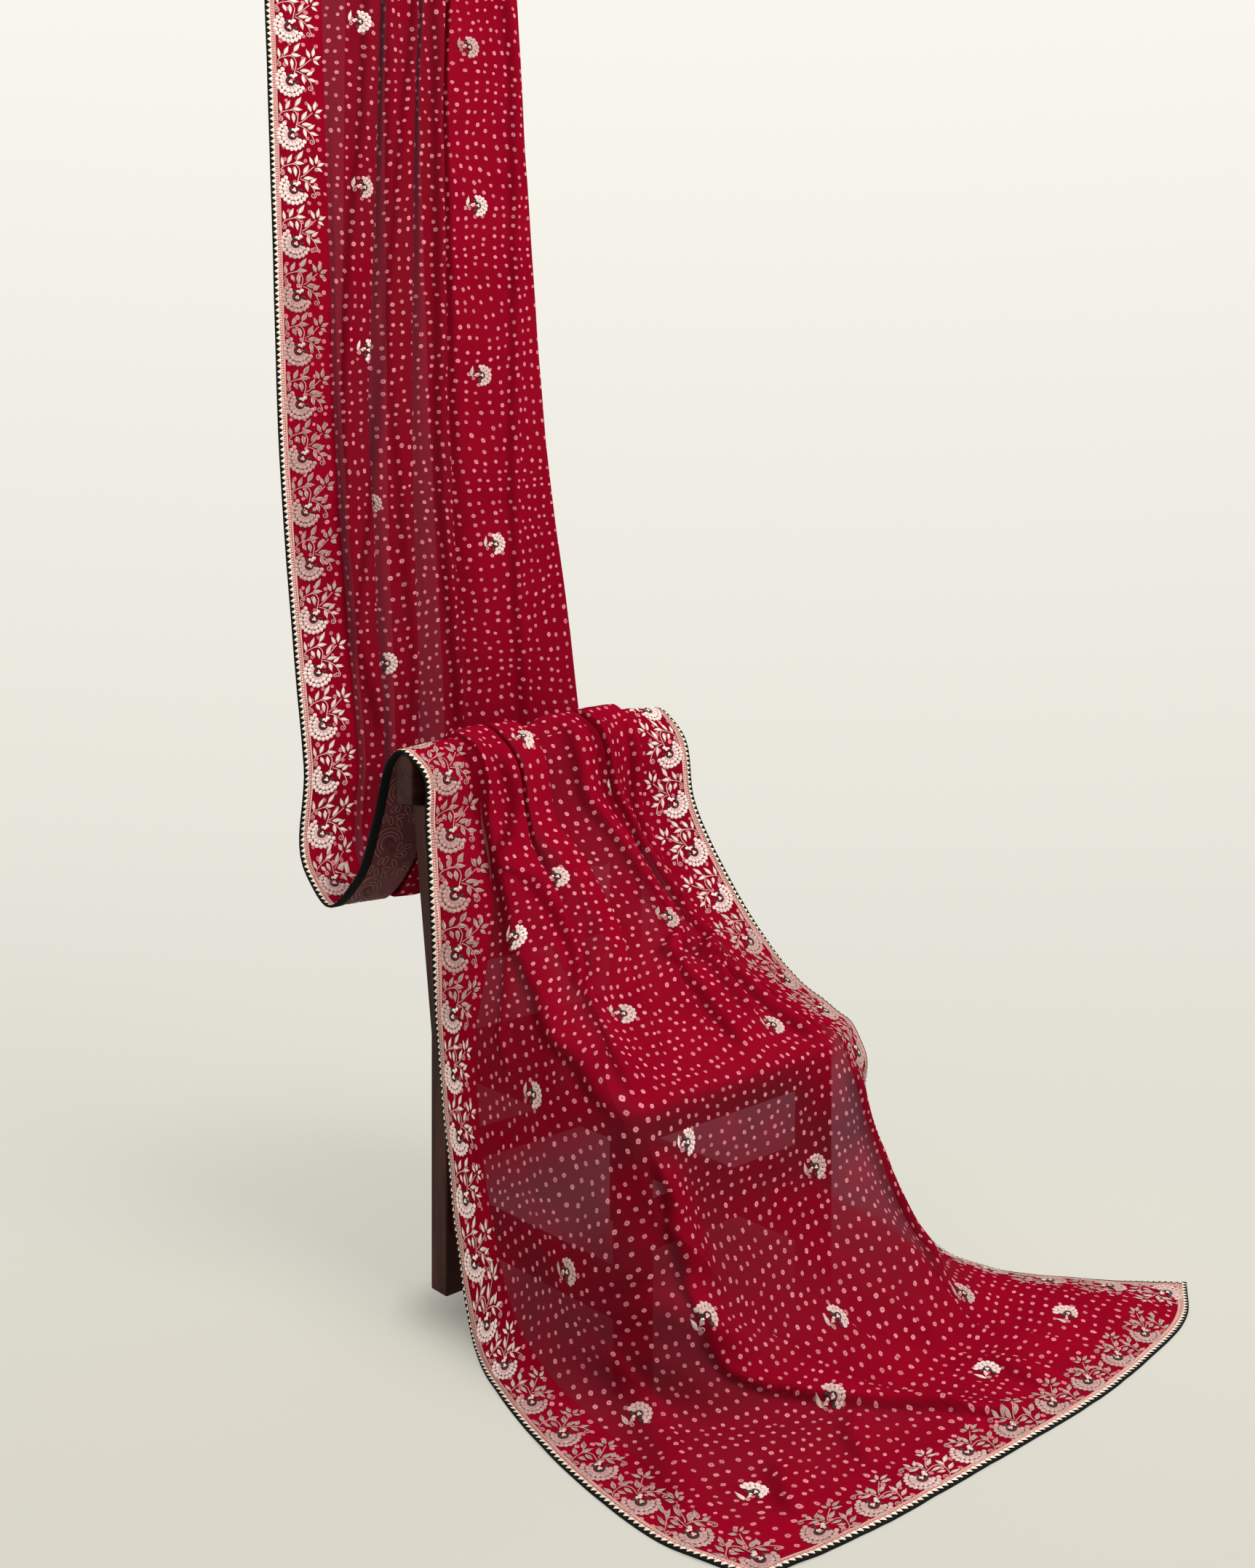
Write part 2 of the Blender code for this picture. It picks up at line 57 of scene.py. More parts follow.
# station, steps, hem_l, band_l, side, fold_a, fold_b, mid, fold_d, fold_e, band_r, hem_r
SECTIONS = (
 ("end", 0, (-.166, -.412, 0), (-.060, -.432, 0), (.050, -.446, 0), (.160, -.452, 0), (.270, -.457, 0),
  (.390, -.462, 0), (.540, -.464, 0), (.690, -.452, 0), (.880, -.415, 0), (.979, -.357, 0)),
 ("floor 2", 2, (-.203, -.255, 0), (-.098, -.275, 0), (.012, -.289, 0), (.115, -.298, 0), (.222, -.304, 0),
  (.335, -.312, 0), (.475, -.318, 0), (.620, -.308, .010), (.795, -.283, .022), (.870, -.243, .004)),
 ("floor 1", 3, (-.178, -.020, 0), (-.085, -.060, 0), (.000, -.105, .002), (.085, -.155, .004),
  (.170, -.190, .010), (.280, -.215, .018), (.410, -.225, .012), (.560, -.210, .014), (.690, -.160, .034),
  (.775, -.100, .004)),
 ("touch", 3, (-.120, .190, 0), (-.070, .110, .020), (-.020, .020, .050), (.055, -.100, .120),
  (.160, -.100, .100), (.270, -.110, .100), (.370, -.120, .095), (.500, -.130, .120), (.662, -.030, .066),
  (.752, .022, .026)),
 ("shin", 4, (-.045, .350, .030), (-.035, .220, .120), (-.026, -.008, .220), (.038, -.046, .290),
  (.150, -.030, .270), (.260, -.030, .260), (.360, -.035, .260), (.452, -.050, .265), (.610, .040, .262),
  (.680, .110, .266)),
 ("apron", 3, (-.033, .398, .150), (-.032, .292, .224), (-.032, .072, .322), (-.006, -.020, .414),
  (.116, -.014, .411), (.235, -.014, .410), (.352, -.015, .410), (.462, -.024, .411), (.574, .062, .388),
  (.666, .104, .374)),
 ("edge", 1, (-.030, .410, .180), (-.032, .310, .250), (-.032, .125, .350), (-.006, -.008, .446),
  (.110, -.006, .447), (.230, -.006, .447), (.350, -.006, .447), (.464, -.008, .447), (.567, .078, .423),
  (.660, .124, .410)),
 ("sill", 1, (-.030, .418, .228), (-.030, .320, .294), (-.030, .160, .380), (-.004, .032, .464),
  (.108, .032, .466), (.222, .031, .467), (.335, .030, .467), (.452, .032, .463), (.562, .108, .434),
  (.656, .150, .424)),
 ("lap", 3, (-.030, .451, .427), (-.022, .360, .470), (-.014, .290, .502), (.006, .200, .540),
  (.100, .190, .555), (.190, .180, .560), (.274, .170, .560), (.394, .182, .546), (.548, .236, .482),
  (.646, .272, .486)),
 ("mid", 4, (-.030, .475, .668), (.024, .440, .676), (.042, .416, .682), (.058, .385, .690),
  (.137, .350, .700), (.220, .330, .700), (.293, .320, .690), (.380, .335, .655), (.496, .390, .626),
  (.599, .380, .645)),
 ("high", 3, (-.031, .486, .810), (.045, .474, .803), (.066, .470, .801), (.087, .465, .800),
  (.150, .455, .800), (.230, .450, .810), (.307, .450, .815), (.380, .452, .795), (.474, .474, .768),
  (.576, .450, .785)),
 ("brow", 2, (-.034, .504, .908), (.055, .503, .918), (.085, .503, .920), (.108, .503, .923),
  (.158, .503, .926), (.246, .503, .930), (.335, .503, .934), (.382, .503, .937), (.478, .505, .937),
  (.572, .490, .925)),
 ("crest", 2, (-.045, .5375, .932), (.050, .5375, .944), (.080, .5375, .946), (.110, .5375, .948),
  (.160, .5375, .950), (.250, .5375, .953), (.335, .5375, .957), (.385, .5375, .961), (.480, .5375, .963),
  (.568, .5375, .957)),
)
# Behind the crest a section is close to straight: its two ends, with the lines spread between by SPREAD.
SPREAD = (0, .17, .25, .34, .42, .52, .64, .74, .83, 1)
HANGING = (
 ("back", 2, (-.046, .574, .914), (.562, .576, .928)),
 ("rise", 2, (-.050, .618, .800), (.545, .603, .800)),
 ("loop front", 2, (-.068, .655, .690), (.535, .618, .690)),
 ("loop", 3, (-.088, .700, .643), (.530, .648, .641)),
 ("loop rear", 3, (-.094, .762, .686), (.525, .690, .690)),
 ("low", 2, (-.078, .800, .880), (.500, .710, .930)),
 ("hang 0", 1, (-.088, .812, 1.05), (.480, .715, 1.10)),
 ("hang 1", 2, (-.113, .820, 1.39), (.432, .725, 1.43)),
 ("hang 2", 2, (-.128, .828, 1.90), (.392, .738, 1.95)),
 ("top", 2, (-.145, .832, 2.42), (.360, .745, 2.42)),
)
# Four pleats: for each its place and its share of the surplus width; then how much the last pleat's fold is
# the section's right end, how far inside that fold the hem lies, and the pleats' height.
PLEATS = {
 "end":    ((.50, .55), (.60, .15), (.68, .15), (.76, .15), 0, 0, .014),
 "floor 1": ((.46, .60), (.58, .13), (.67, .13), (.76, .14), 0, 0, .014),
 "touch":  ((.43, .40), (.55, .20), (.65, .20), (.75, .20), 0, 0, .014),
 "edge":   ((.41, .25), (.52, .20), (.62, .25), (.72, .30), 0, 0, .014),
 "lap":    ((.37, .28), (.47, .22), (.56, .25), (.66, .25), 0, 0, .014),
 "mid":    ((.26, .25), (.39, .20), (.60, .25), (.72, .30), 0, 0, .013),
 "high":   ((.22, .25), (.34, .20), (.57, .25), (.70, .30), 0, 0, .013),
 "crest":  ((.22, .22), (.33, .20), (.58, .25), (.72, .33), 0, 0, .013),
 "rise":   ((.24, .22), (.36, .22), (.58, .24), (.76, .32), .1, 0, .013),
 "loop":   ((.25, .20), (.37, .20), (.56, .22), (.88, .38), .6, .01, .013),
 "low":    ((.22, .11), (.35, .14), (.52, .11), (1.0, .64), 1, .08, .013),
 "hang 1": ((.25, .16), (.42, .16), (.58, .12), (1.0, .56), 1, .04, .013),
 "top":    ((.38, .21), (.52, .19), (.63, .14), (1.0, .46), 1, .016, .013),
}
ROW_FACTOR = 5          # rows of this grid for each row of the solid
COLUMN_STEP = .0085     # widest step across
BORDER_ROWS = 9         # rows in the border of the loose end

FOLD_FROM, FOLD_RANGE = 0.014, 0.020   # overlap at which a pleat starts to turn over, and how much more turns it
RAISE_RANGE = 0.010     # overlap at which it stands at its full height
FLAT_REACH, RAISED_REACH = 0.014, 0.005    # half width of its lines where it is flat, and once raised
FLAT_LINES = np.array([-.012, -.007, -.003, .003, .007, .012])
FLAT_SQUEEZE = 0.8      # share by which those lines close up as it is raised
FOLD_LIFT = np.array([1, .8, .62, .38, .2, 0])     # heights of its six lines, from the top layer down
PLEAT_ROOM, BAND_ROOM = 0.016, 0.030   # flat cloth between two pleats, and between the last one and the border
LEAD_GAP, CLIMB = 0.004, 0.050         # from a pleat to the next line, and the run on which the cloth climbs
PANEL_LINES = (5, 3, 3, 3, 3)          # lines in the flat panels before, between and after the pleats
NEAR_SHARE = 0.3        # place of the line after the last pleat, of the way to the border
STATIONS = [r[0] for r in SECTIONS + HANGING]
STEPS = [r[1] * ROW_FACTOR for r in SECTIONS + HANGING]


def smooth(x):
    """0 below 0, 1 above 1, and 3x^2 - 2x^3 between."""
    x = np.clip(x, 0, 1)
    return x * x * (3 - 2 * x)


def through(rows, at_rows, at, soft=False):
    """Cubic through rows, placed at at_rows, read at the values in at.  A tangent is the mean of the slopes on
    its two sides, weighted to the nearer point, or, when soft, the chord between the two neighbours."""
    tail = (1,) * (rows.ndim - 1)
    step = np.diff(at_rows)
    slope = np.diff(rows, axis=0) / step.reshape((-1,) + tail)
    w = (step[:-1] / (step[:-1] + step[1:])).reshape((-1,) + tail)
    w = 1 - w if soft else w
    m = np.concatenate([slope[:1], slope[:-1] * (1 - w) + slope[1:] * w, slope[-1:]])
    i = np.clip(np.searchsorted(at_rows, at, side="right") - 1, 0, len(step) - 1)
    s = ((at - at_rows[i]) / step[i]).reshape((-1,) + tail)
    d = step[i].reshape(s.shape)
    return ((2*s**3 - 3*s**2 + 1) * rows[i] + (s**3 - 2*s**2 + s) * d * m[i]
            + (3*s**2 - 2*s**3) * rows[i + 1] + (s**3 - s**2) * d * m[i + 1])


def arc(points):
    """Running length along the second-last axis of points."""
    d = np.linalg.norm(np.diff(points, axis=-2), axis=-1)
    return np.concatenate([np.zeros(d.shape[:-1] + (1,)), np.cumsum(d, axis=-1)], axis=-1)


def read_rows(values, places, at):
    """Rows of points, given at their places, read at other places of the same rows."""
    return np.array([[np.interp(x, p, row[:, k]) for k in range(row.shape[1])]
                     for x, p, row in zip(at, places, values)]).transpose(0, 2, 1)


def drape():
    """Lines of the folded cloth: their points, where each lies along the unfolded section of its row, and the
    direction straight up from that section."""
    rows = [np.array(r[2:], float) for r in SECTIONS]
    rows += [np.array(a) + np.outer(SPREAD, np.subtract(b, a)) for _, _, a, b in HANGING]
    rows = np.array(rows)
    key = np.concatenate([[0], np.cumsum(np.linalg.norm(np.diff(rows, axis=0), axis=2).mean(axis=1))])
    edge_rows = np.concatenate([EDGE_LINES[:2], np.linspace(*EDGE_LINES[2:], BORDER_ROWS)])
    at = [edge_rows * key[1] / END_RUN]
    for i in range(1, len(key)):
        start = key[i - 1] if i > 1 else at[0][-1]
        at.append(start + (key[i] - start) * np.arange(1, STEPS[i] + 1) / STEPS[i])
    at = np.concatenate(at)
    base = through(rows, key, at)
    base[..., 2] = np.maximum(base[..., 2], Z_FLOOR)
    fixed = [STATIONS.index(n) for n in PLEATS]
    table = np.array([np.hstack([np.ravel(c) for c in row]) for row in PLEATS.values()])
    pleat = np.stack([np.interp(at, key[fixed], col) for col in table.T], axis=1)

    dense = np.array([through(b, a, np.linspace(0, a[-1], SECTION_POINTS)) for b, a in zip(base, arc(base))])
    run = arc(dense)
    width = run[:, -1]
    place, share = pleat[:, 0:8:2], pleat[:, 1:8:2]
    edge, tuck, height = pleat[:, 8:].T
    hem = width - tuck
    fold = np.maximum(SHEET_W - hem, 0)[:, None] * share / share.sum(axis=1)[:, None] / 2   # overlap of each pleat
    t, n = [0 * hem + e for e in EDGE_LINES], [0 * hem] * len(EDGE_LINES)
    clear = BAND + 0 * hem              # where the layer over the previous pleat ends
    for j in range(4):
        o = fold[:, j]
        c = place[:, j] * width - (edge * o / 2 if j == 3 else 0)
        c = np.where((j < 3) | (edge < .5), np.minimum(c, width - BAND - BAND_ROOM - o / 2), c)
        full, raised = smooth((o - FOLD_FROM) / FOLD_RANGE), np.clip(o / RAISE_RANGE, 0, 1)
        r = np.minimum(height / 4, o / 2)
        reach = full * o / 2 + (1 - full) * (FLAT_REACH + (RAISED_REACH - FLAT_REACH) * raised)
        c = np.maximum(c, clear + reach + PLEAT_ROOM)
        start = c - reach
        for part in np.linspace(0, 1, PANEL_LINES[j]):
            lead = clear + LEAD_GAP + (start - clear - LEAD_GAP) * part
            t.append(lead)
            n.append(raised * height * smooth((1 - (start - lead) / CLIMB) * (part > 0)))
        clear = c + reach
        for folded, flat, lift in zip((o/2 - r, o/2, o/2 - r, r - o/2, -o/2, r - o/2), FLAT_LINES, FOLD_LIFT):
            t.append(c + full * folded + (1 - full) * flat * (1 - FLAT_SQUEEZE * raised))
            n.append(raised * height * lift)
    last = hem - BAND
    near = t[-1] + NEAR_SHARE * (last - t[-1])
    t += [near + (last - near) * part for part in np.linspace(0, 1, PANEL_LINES[-1])]
    t += [hem - e for e in EDGE_LINES[-2::-1]]
    n += [0 * hem] * (PANEL_LINES[-1] + len(EDGE_LINES) - 1)
    t, n = np.stack(t, axis=1), np.stack(n, axis=1)

    along = np.gradient(dense, at, axis=0)
    across = np.gradient(dense, axis=1)
    up = np.cross(across, along)
    up /= np.linalg.norm(up, axis=2, keepdims=True)
    grid, lift = [read_rows(values, run, np.clip(t, 0, width[:, None])) for values in (dense, up)]
    lift /= np.linalg.norm(lift, axis=2, keepdims=True)
    return grid + lift * n[..., None], t, lift


def refine(lines, *fields):
    """Rounds each row through its lines, with the same number of steps between two lines in every row; the other
    fields are carried along straight between the lines."""
    longest = np.diff(arc(lines), axis=1).max(axis=0)
    count = np.maximum(2, np.ceil(longest / COLUMN_STEP)).astype(int)
    share = np.concatenate([k + np.arange(c) / c for k, c in enumerate(count)] + [[len(count)]])
    k = np.minimum(share.astype(int), len(count) - 1)
    part = share - k
    run = arc(lines)
    at = run[:, k] + (run[:, k + 1] - run[:, k]) * part
    points = np.array([through(row, a, x, soft=True) for row, a, x in zip(lines, run, at)])
    shares = [part if f.ndim == 2 else part[:, None] for f in fields]
    return [points] + [f[:, k] + (f[:, k + 1] - f[:, k]) * p for f, p in zip(fields, shares)]


def layers_over(place):
    """How many layers of the sheet lie over each other at each point: the row's own steps that span its place."""
    low = np.minimum(place[:, 1:], place[:, :-1])[:, None, :]
    high = np.maximum(place[:, 1:], place[:, :-1])[:, None, :]
    here = place[:, :, None]
    return ((here > low) & (here <= high)).sum(axis=2)


SURFACE, PLACE, UP = refine(*drape())
across = arc(SURFACE)
ACROSS = across / across[:, -1:] * SHEET_W                     # metres of cloth from the left hem
ALONG = arc(SURFACE.transpose(1, 0, 2)).T                      # metres of cloth from the loose end
LAYERS = layers_over(PLACE)


def ripple(u, v):
    """Height of the soft crumple of the crepe: two crossed waves, bent by slower ones, and a finer one."""
    slow = np.sin(6.28 * (3.1 * u + .6 * np.sin(8.2 * v))) * np.sin(6.28 * (4.3 * v + .5 * np.sin(5.7 * u)))
    fine = np.sin(6.28 * (8.7 * u + 5.1 * v + .4 * np.sin(31 * v))) * np.sin(6.28 * (11.3 * v - 3.1 * u))
    return .0011 * slow + .0005 * fine


# Soft folds that fall between the pleats: height, then half width towards the left and the right hem, then the
# crest line as (metres from the loose end, metres from the left hem).
SOFT_FOLDS = (
 (.013, .010, .030, ((.84, .47), (.94, .40), (1.00, .33), (1.09, .225), (1.17, .16), (1.32, .125), (1.62, .112))),
 (.006, .010, .020, ((.95, .225), (1.10, .165), (1.22, .135), (1.40, .118))),
 (.010, .012, .028, ((1.10, .42), (1.22, .37), (1.36, .30), (1.44, .21), (1.62, .150))),
 (.008, .012, .030, ((.88, .50), (.96, .475), (1.10, .43), (1.24, .40))),
 (.011, .011, .032, ((.86, .750), (1.08, .690), (1.28, .60), (1.45, .566), (1.64, .57))),
 (.008, .012, .020, ((.90, .81), (1.06, .765), (1.24, .70), (1.42, .68), (1.62, .67))),
 (.016, .012, .030, ((.82, .895), (.90, .870), (1.04, .840), (1.24, .79), (1.40, .771), (1.64, .760))),
 (.010, .012, .020, ((.84, .955), (1.02, .930), (1.22, .885), (1.40, .865), (1.62, .86))),
 (.014, .008, .050, ((.03, .600), (.09, .575), (.20, .513), (.29, .445), (.35, .385), (.40, .358), (.46, .368),
                     (.60, .445), (.74, .495), (.83, .490))),
 (.018, .024, .022, ((.36, .905), (.46, .960), (.55, .955), (.63, .970), (.76, .96), (.82, .925))),
 (.006, .010, .012, ((.80, .45), (.83, .49))),
 (.007, .012, .030, ((.06, .17), (.13, .205), (.24, .292))),
 (.007, .012, .030, ((.10, .34), (.18, .395), (.27, .462))),
 (.006, .014, .024, ((.05, .70), (.13, .735), (.24, .80))),
 (.006, .030, .010, ((.14, .10), (.26, .14), (.40, .21), (.55, .25))),
 (.008, .007, .024, ((2.40, .125), (2.70, .125), (3.08, .138), (3.25, .150), (3.45, .175), (3.84, .205))),
 (.008, .008, .022, ((2.30, .150), (2.60, .23), (2.90, .31), (3.10, .338), (3.41, .38), (3.84, .46))),
 (.006, .008, .014, ((2.30, .30), (2.62, .36), (3.00, .42), (3.40, .47), (3.84, .50))),
 (.008, .010, .010, ((2.30, .49), (2.60, .512), (3.00, .545), (3.54, .587), (3.84, .62))),
 (.007, .010, .010, ((2.30, .70), (2.56, .723), (3.09, .794), (3.84, .866))),
)
FOLD_FADE = .07         # length over which a soft fold dies away at its ends
FOOT_PLACE, FOOT_WIDTH = 1.35, .8       # place and width of the painted shade beside it, in half widths of its left side
FULL_FROM, CREASE_SHADE_FROM = .009, .010     # heights from which it lies fully double and has its full painted shade in the foot


def soft_folds():
    """Height, fullness and painted shade of the soft folds: over each crest line a bell curve of the distance to it,
    steeper on one side; the painted shade is a narrower bell at the foot of its left side, where it darkens the
    colour.  The distance is taken along the unfolded section, so that all layers of a pleat rise together."""
    height, full, crease_shade = np.zeros((3,) + PLACE.shape)
    for peak, left_w, right_w, line in SOFT_FOLDS:
        us, vs = np.array(line).T
        u = ALONG.mean(axis=1, keepdims=True)
        for _ in range(4):
            v = np.interp(u, us, vs)
            u = read_rows(ALONG[..., None], ACROSS, v)[..., 0]
        lean = np.interp(u, us, np.gradient(vs, us))
        aside = (PLACE - read_rows(PLACE[..., None], ACROSS, v)[..., 0]) / np.sqrt(1 + lean ** 2)
        fade = smooth((u - us[0]) / FOLD_FADE) * smooth((us[-1] - u) / FOLD_FADE)
        bell = np.exp(-(aside / np.where(aside < 0, left_w, right_w)) ** 2) * fade
        foot = np.exp(-((aside + FOOT_PLACE * left_w) / (FOOT_WIDTH * left_w)) ** 2) * fade
        height = np.maximum(height, peak * bell)
        full = np.maximum(full, bell * min(1, peak / FULL_FROM))
        crease_shade = np.maximum(crease_shade, foot * min(1, peak / CREASE_SHADE_FROM))
    return height, full, crease_shade


HEIGHT, FULL, CREASE_SHADE = soft_folds()
SURFACE = SURFACE + UP * (ripple(ALONG, PLACE) + HEIGHT)[..., None]
SURFACE[..., 2] = np.maximum(SURFACE[..., 2], Z_FLOOR)
SURFACE += CORNER
NORMALS = np.cross(np.gradient(SURFACE, axis=1), np.gradient(SURFACE, axis=0))      # on the face of the cloth
NORMALS /= np.maximum(np.linalg.norm(NORMALS, axis=2, keepdims=True), 1e-9)

# The sheet resampled every 2 mm across, so that a flat place has one point and one normal.
CELL = .002
FLAT_V = np.arange(0, SHEET_W + CELL / 2, CELL)
ROWS = len(SURFACE)
ROW_NUMBER = np.arange(ROWS, dtype=float)
FLAT_POINTS, FLAT_NORMALS = [read_rows(f, ACROSS, np.tile(FLAT_V, (ROWS, 1))) for f in (SURFACE, NORMALS)]
FLAT_NORMALS /= np.linalg.norm(FLAT_NORMALS, axis=2, keepdims=True)
FLAT_U = arc(FLAT_POINTS.transpose(1, 0, 2)).T                 # length along the cloth at each lattice point
STEP_ROW = np.gradient(FLAT_POINTS, axis=0)                    # change of place for one row
STEP_V = np.gradient(FLAT_POINTS, CELL, axis=1)                # change of place for one metre across
KNOT_ROWS, KNOT_CELLS = 3, 19                                  # lattice rows and cells in a patch of the flat pattern


def unrolled(sweeps=40, pin=1e-6):
    """Flat pattern of the sheet, as even as it can be: each patch keeps its own sides and corner angle, is turned
    as the patches round it ask, and all corners are then moved to the least sum of squared misfits.  A place is one
    complex number, its length along the cloth and, as the imaginary part, its distance from the left hem."""
    cut_r = np.unique(np.append(np.arange(0, ROWS - 1, KNOT_ROWS), ROWS - 1))
    cut_v = np.arange(0, len(FLAT_V), KNOT_CELLS)
    size_r, size_v = np.linalg.norm(STEP_ROW, axis=2), np.linalg.norm(STEP_V, axis=2)
    lean = (STEP_ROW * STEP_V).sum(axis=2) / np.maximum(size_r * size_v, 1e-9)
    mean = lambda a: np.array([[a[r0:r1 + 1, v0:v1 + 1].mean() for v0, v1 in zip(cut_v, cut_v[1:])]
                               for r0, r1 in zip(cut_r, cut_r[1:])])
    lean = mean(lean)
    side_r = mean(size_r) * np.diff(cut_r)[:, None] * (np.sqrt(1 - lean ** 2) + 1j * lean)
    side_v = 1j * mean(size_v) * CELL * KNOT_CELLS
    sides = np.stack([side_v, side_v, side_r, side_r])
    number = np.arange(len(cut_r) * len(cut_v)).reshape(len(cut_r), len(cut_v))
    a = np.stack([number[:-1, :-1], number[1:, :-1], number[:-1, :-1], number[:-1, 1:]])
    b = np.stack([number[:-1, 1:], number[1:, 1:], number[1:, :-1], number[1:, 1:]])
    pull = np.eye(number.size) * pin
    for first, second, sign in ((a, a, 1), (b, b, 1), (a, b, -1), (b, a, -1)):
        np.add.at(pull, (first, second), sign)
    settle = np.linalg.inv(pull)
    flat = (FLAT_U[np.ix_(cut_r, cut_v)] + 1j * FLAT_V[cut_v]).ravel()
    for _ in range(sweeps):
        turn = (sides.conj() * (flat[b] - flat[a])).sum(axis=0)
        aim = sides * turn / np.abs(turn)
        load = flat * pin
        np.add.at(load, b, aim)
        np.add.at(load, a, -aim)
        flat = settle @ load
    by_row = np.array([np.interp(ROW_NUMBER, cut_r, line) for line in flat.reshape(number.shape).T]).T
    pattern = np.array([np.interp(at, FLAT_V[cut_v], row) for at, row in zip(ACROSS, by_row)])
    return np.stack([pattern.real, pattern.imag], axis=-1)


PATTERN = unrolled()


def grid_faces(n, m, flip=False):
    """Quads of an n by m grid of points."""
    i, j = np.meshgrid(np.arange(n - 1), np.arange(m - 1), indexing="ij")
    a = (i * m + j).ravel()
    quads = np.stack([a, a + 1, a + m + 1, a + m], axis=1)
    return quads[:, ::-1] if flip else quads


def piece(name, points, quads, uv=None, values=None):
    """Smooth mesh object at the origin that rides with the chair; uv and named values are given per point."""
    mesh = bpy.data.meshes.new(name)
    mesh.from_pydata(points.reshape(-1, 3).tolist(), [], quads.tolist())
    if uv is not None:
        layer = mesh.uv_layers.new(name="flat")
        corner = np.empty(len(mesh.loops), np.int32)
        mesh.loops.foreach_get("vertex_index", corner)
        layer.data.foreach_set("uv", uv.reshape(-1, 2)[corner].astype(np.float32).ravel())
    for key, value in (values or {}).items():
        attribute = mesh.attributes.new(key, "FLOAT", "POINT")
        attribute.data.foreach_set("value", value.astype(np.float32).ravel())
    mesh.polygons.foreach_set("use_smooth", np.ones(len(mesh.polygons), bool))
    mesh.update()
    obj = bpy.data.objects.new(name, mesh)
    bpy.context.collection.objects.link(obj)
    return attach(obj, "root")


def in_border(u, v):
    """1 over the embroidered border, where the lining lies behind the cloth."""
    return ((u < BAND) | (v < BAND) | (v > SHEET_W - BAND)).astype(float)


# How much lies close behind the sheet and throws the light back through it, in its left, middle and right part:
# 1 over the floor, 0 where it hangs clear in front of the legs, and between where more folds of it hang behind.
# The brighter red that this gives is painted light: light thrown back from behind, and over the seat's front edge
# (edge, sill) light falling from above.
BACKING_AND_LIGHT = {"end": (1, 1, 1), "floor 1": (.60, 1, 1), "touch": (.22, .62, .30), "shin": (.15, .32, 0),
           "apron": (.12, .06, 0), "edge": (.30, .80, .20), "sill": (.50, .92, .70), "lap": (.50, .88, .72),
           "mid": (.25, .38, .50), "high": (.45, .45, .60), "crest": (.80, .80, .80), "rise": (.4, .5, .5),
           "loop": (.4, .6, .6), "low": (.46, .9, .9), "top": (.46, .9, .9)}
# Where one part's values pass into the next one's, as (metres from the loose end, metres from the left hem).
PART_LINES = (((0, .60), (.09, .575), (.20, .513), (.29, .445), (.35, .385), (.40, .358), (.46, .368), (.60, .445),
               (.74, .495), (.90, .47), (1.9, .40), (2.4, .58), (3.0, .62), (3.8, .66)),
              ((0, 1.0), (.30, .95), (.42, .86), (.60, .80), (.78, .86), (.90, .96), (1.2, .90), (3.9, .90)))


def backing_and_light():
    """BACKING_AND_LIGHT read along the cloth at the rows' own places: each station's row is where its steps end."""
    ends = np.cumsum([BORDER_ROWS + 1] + STEPS[1:])
    at = [0 if name == "end" else ends[STATIONS.index(name)] for name in BACKING_AND_LIGHT]
    value, *later = [np.interp(np.arange(ROWS), at, part)[:, None] for part in zip(*BACKING_AND_LIGHT.values())]
    for part, line in zip(later, PART_LINES):
        split = np.interp(ALONG, *np.array(line).T)
        value = value + (part - value) * smooth((ACROSS - split) / .03 + .5)
    return value


HANG_FROM, HANG_OPEN = (1.9, 2.2), .9       # from there up the folds and pleats are open ones
close = 1 - HANG_OPEN * smooth((ALONG - HANG_FROM[0]) / (HANG_FROM[1] - HANG_FROM[0]))
# How full its red is and how little it lets through: from the layers, the table above, the lining and the soft folds'
# ridges, which count as lying double. The brighter red is partly real, where it lies double or on the lining, and
# partly painted light: light thrown back from behind, light from above over the seat's edge, and a painted highlight
# along the fold ridges.
backed_and_lit = np.maximum(smooth((LAYERS - 1) / 2) * close, backing_and_light())
backed_and_lit = np.maximum(backed_and_lit + (1 - backed_and_lit) * .8 * FULL * close, in_border(ALONG, ACROSS))
cloth = piece("draped_cloth", SURFACE, grid_faces(*SURFACE.shape[:2]), PATTERN, {"backed_and_lit": backed_and_lit, "crease_shade": CREASE_SHADE})


def feed(made, inputs):
    """Gives a node its inputs, by place or name: another node's output gets linked, a constant is set on the
    node's own socket, and a colour gets its alpha."""
    for key, value in inputs.items():
        socket = made.inputs[key]
        if isinstance(value, bpy.types.NodeSocket):
            made.id_data.links.new(value, socket)
        else:
            socket.default_value = (*value, 1) if socket.type == "RGBA" else value
    return made


def wire(shader, **inputs):
    """Gives a shader its inputs, named with _ for a space."""
    feed(shader, {key.replace("_", " "): value for key, value in inputs.items()})


def new_material(name, roughness, **constants):
    """Material with a Principled shader and the constants on its sockets; returns it, its tree and the shader."""
    m = bpy.data.materials.new(name)
    m.use_nodes = True
    shader = m.node_tree.nodes["Principled BSDF"]
    wire(shader, Roughness=roughness, **constants)
    return m, m.node_tree, shader


def node(tree, kind, inputs, **settings):
    """Adds a node with its settings and its inputs."""
    made = tree.nodes.new("ShaderNode" + kind)
    for key, value in settings.items():
        setattr(made, key, value)
    return feed(made, inputs)


def maths(tree, operation, *values):
    """Result of one sum or function of the values."""
    return node(tree, "Math", dict(enumerate(values)), operation=operation).outputs[0]


def flat_place(tree):
    """Place on the flat cloth, in metres."""
    return node(tree, "UVMap", {}, uv_map="flat").outputs[0]


def attribute(tree, name):
    """Number that the mesh holds at each point under that name."""
    return node(tree, "Attribute", {}, attribute_name=name).outputs["Fac"]


